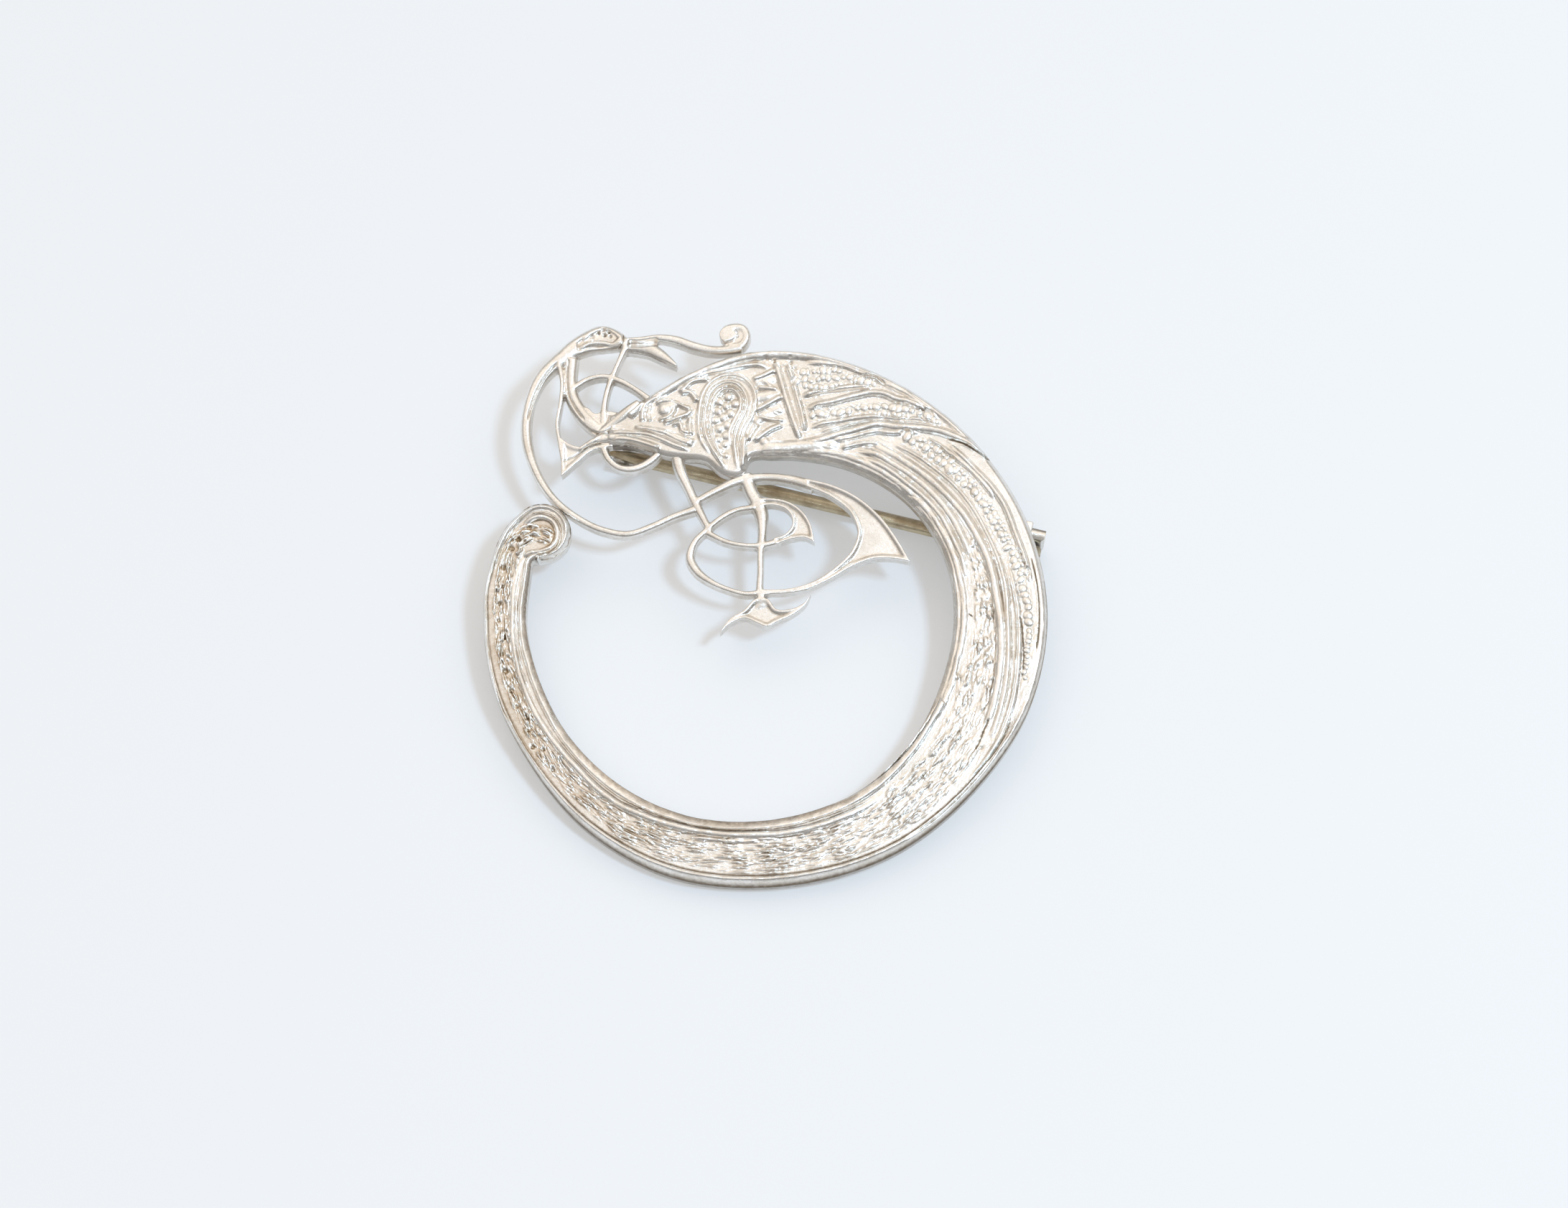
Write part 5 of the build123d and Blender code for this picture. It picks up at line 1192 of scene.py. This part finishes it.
def surface_group():
    """Cast surface: fine grain and short wear lines as one height."""
    group, given, result = new_group("cast_surface", (), ("Grain", "Lines"), "Height", "NodeSocketFloat")
    grain = calculated(group, "MULTIPLY", millimetre_grain(group, 0.12, 4, 0.7), given["Grain"])
    lines = millimetre_grain(group, 0.1, 2, 0.5, stretch=(1, 0.12, 1))
    lines = calculated(group, "MULTIPLY", lines, given["Lines"])
    group.links.new(calculated(group, "ADD", grain, lines), result)
    return group


TARNISH_AND_SHADE = tarnish_and_shade_group()
SURFACE = surface_group()


def metal(name, tarnish_and_shade, surface, smooth, rough):
    """A metal that takes its colour from the tarnish and painted shade group and its bump from the cast
    surface group.
    """
    material = bpy.data.materials.new(name)
    material.use_nodes = True
    tree = material.node_tree
    shader = tree.nodes["Principled BSDF"].inputs
    marks = {
        title: node(tree, "ShaderNodeAttribute", attribute_name=title.lower()).outputs["Fac"]
        for title in ("Hollow", "Stain")
    }
    colours = node(tree, "ShaderNodeGroup", node_tree=TARNISH_AND_SHADE, **tarnish_and_shade, **marks)
    gloss = node(tree, "ShaderNodeMapRange", Value=millimetre_grain(tree, 1.1, 3),
                 **{"To Min": smooth, "To Max": rough})
    height = node(tree, "ShaderNodeGroup", node_tree=SURFACE, **surface).outputs["Height"]
    bump = node(tree, "ShaderNodeBump", Strength=1.0, Distance=BUMP_HEIGHT, Height=height)
    feed(tree, shader["Metallic"], 1.0)
    feed(tree, shader["Base Color"], colours.outputs["Colour"])
    feed(tree, shader["Roughness"], gloss.outputs["Result"])
    feed(tree, shader["Normal"], bump.outputs["Normal"])
    return material


SILVER = metal("cast_silver", SILVER_TARNISH_AND_SHADE, {"Grain": 1.0, "Lines": 0.15}, smooth=0.18, rough=0.32)
BRASS = metal("dull_brass", BRASS_TARNISH_AND_SHADE, {"Grain": 0.6, "Lines": 1.0}, smooth=0.28, rough=0.45)


def set_in_place(name, mesh, body, slot, material, nodes, rounds=14, stain=LEAST_STAIN):
    """Turns a flat millimetre mesh into a finished piece that rides on its body."""
    add_hollows(mesh, rounds)
    store(mesh, "stain", np.maximum(stain_over(mesh), stain))
    mesh.transform(PLACE)
    mesh.shade_smooth()
    mesh.name = name
    mesh.materials.clear()
    mesh.materials.append(material)
    piece = bpy.data.objects.new(name, mesh)
    bpy.context.scene.collection.objects.link(piece)
    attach(piece, body)
    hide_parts(*nodes)


def set_on_casting(name, mesh, **settings):
    """A silver piece that is part of the casting."""
    set_in_place(name, mesh, "casting", "silver", SILVER, ("bird_ring_casting",), **settings)


# The plate in two lengths

def split_station():
    """The station of the plate that is nearest to where its two pieces meet."""
    angle = radians(SPLIT_ANGLE)
    split_point = np.array([SPLIT_RADIUS * cos(angle), SPLIT_RADIUS * sin(angle)])
    return int(np.argmin(np.hypot(*((INNER_EDGE + OUTER_EDGE) / 2 - split_point).T)))


SPLIT = split_station()
set_on_casting("body_and_wing", plate_strip("body_and_wing", 0, SPLIT + 1, BODY_COLUMNS, seed=11))
set_on_casting("tail_ring", plate_strip("tail_ring", SPLIT, len(INNER_EDGE), TAIL_COLUMNS, seed=23))


# The openwork in two pieces

def head_and_crest():
    """Head, beak, crest, neck, struts, bill and jaw loop."""
    shaped = bmesh.new()
    for rows in HEAD_STRANDS:
        add_strand(shaped, rows)
    add_plate(shaped, BEAK, BEAK_THICKNESS)
    add_strand(shaped, BEAK_LEAF)
    add_plate(shaped, BILL)
    add_plate(shaped, JUNCTION, JUNCTION_THICKNESS)
    for disc in BALL_DISCS:
        add_disc(shaped, *disc)
    mesh = joined_skin("head_and_crest", shaped)
    carve(mesh, HEAD_DISHES, HEAD_RIDGES, HEAD_CUTS, HEAD_PITS)
    return mesh


def legs_and_crescents():
    """Leg, thigh arc, loops, shaft, the two crescents and the foot."""
    shaped = bmesh.new()
    for rows in LEG_STRANDS:
        add_strand(shaped, rows)
    for edges in (CRESCENT, CUSP, FOOT):
        add_plate(shaped, edges)
    mesh = joined_skin("legs_and_crescents", shaped)
    carve(mesh, LEG_DISHES, LEG_RIDGES)
    return mesh


def beadwork():
    """Small cast beads, each a little different, in rows."""
    rng = np.random.default_rng(6)
    shaped = bmesh.new()
    for x, y, radius in BEADS:
        wide, narrow, flat = rng.uniform(0.9, 1.4), rng.uniform(0.8, 1.15), rng.uniform(0.4, 0.6)
        squash = Matrix.Diagonal((wide, narrow, flat, 1))
        place = Matrix.Translation((x, y, min(FIELD_HEIGHT + 0.14, RELIEF_TOP - 0.04 - 0.7 * radius)))
        turn = Matrix.Rotation(rng.uniform(0, pi), 4, "Z")
        bmesh.ops.create_icosphere(shaped, subdivisions=3, radius=radius, matrix=place @ turn @ squash)
    return mesh_of("beadwork", shaped)


set_on_casting("head_and_crest", head_and_crest())
set_on_casting("legs_and_crescents", legs_and_crescents())
set_on_casting("beadwork", beadwork(), stain=0.6)


# Hinge, catch, pin and rivet. Their frames have the pin's line as one axis.

def frame_at(origin, x_axis, y_axis, z_axis):
    """A matrix with the given origin and axes."""
    turn = Matrix((x_axis, y_axis, z_axis)).transposed().to_4x4()
    return Matrix.Translation(origin) @ turn


PIN_RUN = (PLACE.to_3x3().inverted() @ PIN_IN_WORLD).normalized()
ACROSS = Vector((-PIN_RUN.y, PIN_RUN.x, 0))
ON_RIVET = frame_at(HINGE_PLAN, PIN_RUN, UP, PIN_RUN.cross(UP))
ALONG_PIN = frame_at(HINGE_PLAN, ACROSS, -UP, -PIN_RUN)
AT_CATCH = frame_at(HINGE_PLAN - PIN_RUN * (PIN_LENGTH - PIN_OVERSHOOT), ACROSS, UP, PIN_RUN)


def turned_profile(shaped, rows, matrix, segments=48, closed=False):
    """Spins a line of (height, radius) rows about its own Z axis."""
    corners = [shaped.verts.new((radius, 0, height)) for height, radius in rows]
    pairs = list(zip(corners, corners[1:])) + ([(corners[-1], corners[0])] if closed else [])
    edges = [shaped.edges.new(pair) for pair in pairs]
    bmesh.ops.spin(shaped, geom=corners + edges, cent=(0, 0, 0), axis=(0, 0, 1), angle=tau,
                   steps=segments, use_merge=True)
    made = list({v for face in shaped.faces if not face.tag for v in face.verts})
    bmesh.ops.remove_doubles(shaped, verts=made, dist=WELD)
    fresh = [face for face in shaped.faces if not face.tag]
    bmesh.ops.transform(shaped, matrix=matrix, verts=list({v for face in fresh for v in face.verts}))
    for face in fresh:
        face.tag = True


def add_wire_shade(mesh):
    """Stores painted shade along the shaded side of the drawn wire, and a dark stripe in one line beside
    it, as hollows.
    """
    places, _, _ = mesh_arrays(mesh)
    off = places - np.array(HINGE_PLAN)
    turn = np.arctan2(off[:, 2], off @ np.array(ACROSS))
    # Painted shade on one side of the wire, by its turn round the pin's line
    side = 0.32 * np.clip(np.cos(turn - 0.4), 0, 1)
    line = 0.25 * np.exp(-(((turn - 1.9) / 0.2) ** 2))
    store(mesh, "hollow", LEVEL + side + line)


def pin():
    """The pin: flat round eye, thicker neck, straight stem and point."""
    shaped = bmesh.new()
    half, edge = EYE_WIDTH / 2, EYE_EDGE
    eye = [(-half, HOLE_RADIUS + HOLE_EDGE), (-half, EYE_RADIUS - edge), (-half + edge, EYE_RADIUS),
           (half - edge, EYE_RADIUS), (half, EYE_RADIUS - edge), (half, HOLE_RADIUS + HOLE_EDGE),
           (half - HOLE_EDGE, HOLE_RADIUS), (-half + HOLE_EDGE, HOLE_RADIUS)]
    turned_profile(shaped, eye, ON_RIVET, closed=True)
    neck = [(0.62, 0.0), (0.62, half - 0.04), (1.6, 0.63), (2.4, 0.6)]
    straight = PIN_LENGTH - PIN_NECK_LENGTH - PIN_POINT_LENGTH
    stem = [(PIN_NECK_LENGTH + straight * i / 24, PIN_RADIUS) for i in range(25)]
    point = [(PIN_LENGTH - back, radius) for back, radius in PIN_POINT]
    turned_profile(shaped, neck + stem + point, ALONG_PIN, segments=32)
    mesh = mesh_of("pin", shaped)
    add_wire_shade(mesh)
    return mesh


def rivet():
    """The rivet with two domed heads."""
    shaped = bmesh.new()
    inside = HINGE_WIDTH / 2 + RUNNING_CLEARANCE
    outside = inside + RIVET_HEAD_HEIGHT
    half = [(0.0, RIVET_RADIUS), (inside, RIVET_RADIUS), (inside, RIVET_HEAD_RADIUS),
            (inside + 0.1, RIVET_HEAD_RADIUS), (outside - 0.06, RIVET_HEAD_RADIUS - 0.15),
            (outside, RIVET_HEAD_RADIUS - 0.4), (outside, 0.0)]
    rows = [(-h, r) for h, r in reversed(half[1:])] + half
    turned_profile(shaped, rows, ON_RIVET, segments=32)
    return mesh_of("rivet", shaped)


def hinge():
    """The soldered hinge: a plate let into the back and two round ears with a hole for the rivet."""
    shaped = bmesh.new()
    height = HINGE_PLATE_THICKNESS + SOLDER_DEPTH
    size = Matrix.Diagonal((HINGE_PLATE_LENGTH, height, HINGE_WIDTH + 2 * HINGE_PLATE_MARGIN, 1))
    middle = Matrix.Translation((-HINGE_PLATE_LENGTH / 2, PIN_DROP + SOLDER_DEPTH - height / 2, 0))
    plate = bmesh.ops.create_cube(shaped, size=1, matrix=middle @ size)
    edges = list({edge for vert in plate["verts"] for edge in vert.link_edges})
    bmesh.ops.bevel(shaped, geom=edges, offset=PLATE_BEVEL, segments=3, profile=0.5, affect="EDGES",
                    material=-1)
    top = PIN_DROP - HINGE_PLATE_THICKNESS / 2
    for place in (-EAR_GAP / 2 - EAR_THICKNESS, EAR_GAP / 2):
        ring = bmesh.ops.create_circle(shaped, segments=48, radius=EAR_RADIUS - EAR_INSET)["verts"]
        hole = bmesh.ops.create_circle(shaped, segments=48, radius=HOLE_RADIUS)["verts"]
        # The ear's upper half is drawn up to the plate with straight sides
        for vert in ring:
            if vert.co.y > 0.01:
                vert.co.y = top * min(1.0, vert.co.y / (0.3 * EAR_RADIUS))
                wide = EAR_RADIUS * min(1.0, abs(vert.co.x) / (0.6 * EAR_RADIUS))
                vert.co.x = wide if vert.co.x > 0 else -wide
        edges = list({edge for vert in ring + hole for edge in vert.link_edges})
        bridged = bmesh.ops.bridge_loops(shaped, edges=edges)
        tops = drawn_out(shaped, bridged["faces"], (0, 0, EAR_THICKNESS))
        bmesh.ops.translate(shaped, verts=ring + hole + tops, vec=(0, 0, place))
    bmesh.ops.transform(shaped, matrix=frame_at(HINGE_PLAN, PIN_RUN, UP, -ACROSS), verts=shaped.verts[:])
    return mesh_of("hinge", shaped)


def catch():
    """The catch: a strip bent to a hook under the pin, its mouth to the side."""
    shaped = bmesh.new()
    left, half = -CATCH_INNER_RADIUS - CATCH_WALL, CATCH_WIDTH / 2
    right = left + CATCH_WALL
    corners = [(left, 0, -half), (right, 0, -half), (right, 0, half), (left, 0, half)]
    mouth = shaped.faces.new([shaped.verts.new(corner) for corner in corners])
    bent = bmesh.ops.spin(shaped, geom=[mouth], cent=(0, 0, 0), axis=(0, 0, 1), angle=pi, steps=20)
    end = of_kind(bent["geom_last"], bmesh.types.BMFace)
    drawn_out(shaped, end, (0, PIN_DROP + SOLDER_DEPTH, 0), keep_faces=False)
    bmesh.ops.delete(shaped, geom=end, context="FACES_ONLY")
    bmesh.ops.transform(shaped, matrix=AT_CATCH, verts=shaped.verts[:])
    return mesh_of("catch", shaped)


set_in_place("pin_with_eye", pin(), "pin", "brass", BRASS, ("pin_stem",), stain=0)
set_in_place("hinge_rivet_domed", rivet(), "casting", "brass", BRASS, ("hinge_rivet",), rounds=3, stain=0)
set_on_casting("hinge_plate_and_ears", hinge(), rounds=3, stain=0)
set_on_casting("hook_catch", catch(), rounds=3, stain=0.5)


# Floor, light and camera

def floor():
    """A plain pale ground under the brooch that glows faintly, painted light that keeps its shadows light.
    """
    shaped = bmesh.new()
    bmesh.ops.create_grid(shaped, x_segments=1, y_segments=1, size=1.5)
    mesh = mesh_of("floor", shaped)
    ground = bpy.data.materials.new("pale_ground")
    ground.use_nodes = True
    for title, value in GROUND.items():
        ground.node_tree.nodes["Principled BSDF"].inputs[title].default_value = value
    mesh.materials.append(ground)
    piece = bpy.data.objects.new("floor", mesh)
    bpy.context.scene.collection.objects.link(piece)


def softbox(name, azimuth, elevation, distance, width, power, colour):
    """An area lamp that looks at the brooch from an angle."""
    lamp = bpy.data.lights.new(name, "AREA")
    lamp.shape = "RECTANGLE"
    lamp.size = lamp.size_y = width
    lamp.energy = power
    lamp.color = colour
    holder = bpy.data.objects.new(name, lamp)
    a, e = radians(azimuth), radians(elevation)
    holder.location = Vector((cos(a) * cos(e), sin(a) * cos(e), sin(e))) * distance
    holder.rotation_euler = holder.location.to_track_quat("Z", "Y").to_euler()
    bpy.context.scene.collection.objects.link(holder)


def colour_ramp(tree, value, rows):
    """A ramp through a few colours, given as position and colour."""
    made = node(tree, "ShaderNodeValToRGB", Fac=value)
    stops = made.color_ramp.elements
    stops.remove(stops[1])
    stops[0].position, stops[0].color = rows[0][0], (*rows[0][1], 1)
    for position, colour in rows[1:]:
        stops.new(position).color = (*colour, 1)
    return made.outputs["Color"]


def studio_world():
    """Soft surroundings: dim at the horizon, brightest part of the way up, warm and bright in the north."""
    world = bpy.data.worlds.new("studio")
    bpy.context.scene.world = world
    world.use_nodes = True
    tree = world.node_tree
    place = node(tree, "ShaderNodeTexCoord").outputs["Generated"]
    split = node(tree, "ShaderNodeSeparateXYZ", Vector=place).outputs
    level = colour_ramp(tree, split["Z"], [(z, (v, v, v)) for z, v in SKY_LEVELS])
    north = calculated(tree, "MULTIPLY_ADD", split["Y"], 0.5, 0.5)
    sky = blended(tree, 1.0, level, colour_ramp(tree, north, SKY_COLOURS), "MULTIPLY")
    feed(tree, tree.nodes["Background"].inputs["Color"], sky)


def camera():
    """A camera that sees the brooch as the photo does."""
    made = bpy.data.cameras.new("camera")
    made.lens = LENS
    made.sensor_width = SENSOR
    made.sensor_fit = "HORIZONTAL"
    made.clip_start = 0.01
    e = radians(CAMERA_ELEVATION)
    forward = Vector((0, cos(e), -sin(e)))
    right = Vector((1, 0, 0))
    up = right.cross(forward)
    focal = LENS / SENSOR * IMAGE_WIDTH
    step_right = (CENTRE_ON_IMAGE[0] - IMAGE_WIDTH / 2) / focal * CAMERA_DISTANCE
    step_up = (IMAGE_HEIGHT / 2 - CENTRE_ON_IMAGE[1]) / focal * CAMERA_DISTANCE
    target = PLACE @ Vector((0, 0, PLATE_THICKNESS))
    holder = bpy.data.objects.new("camera", made)
    holder.location = target - forward * CAMERA_DISTANCE - right * step_right - up * step_up
    holder.rotation_euler = (pi / 2 - e, 0, 0)
    bpy.context.scene.collection.objects.link(holder)
    bpy.context.scene.camera = holder


floor()
softbox("key_softbox", azimuth=-14, elevation=64, distance=0.7, width=0.1, power=1.5,
        colour=(0.7, 1.0, 1.31))
studio_world()
camera()
bpy.context.scene.view_settings.view_transform = "Standard"
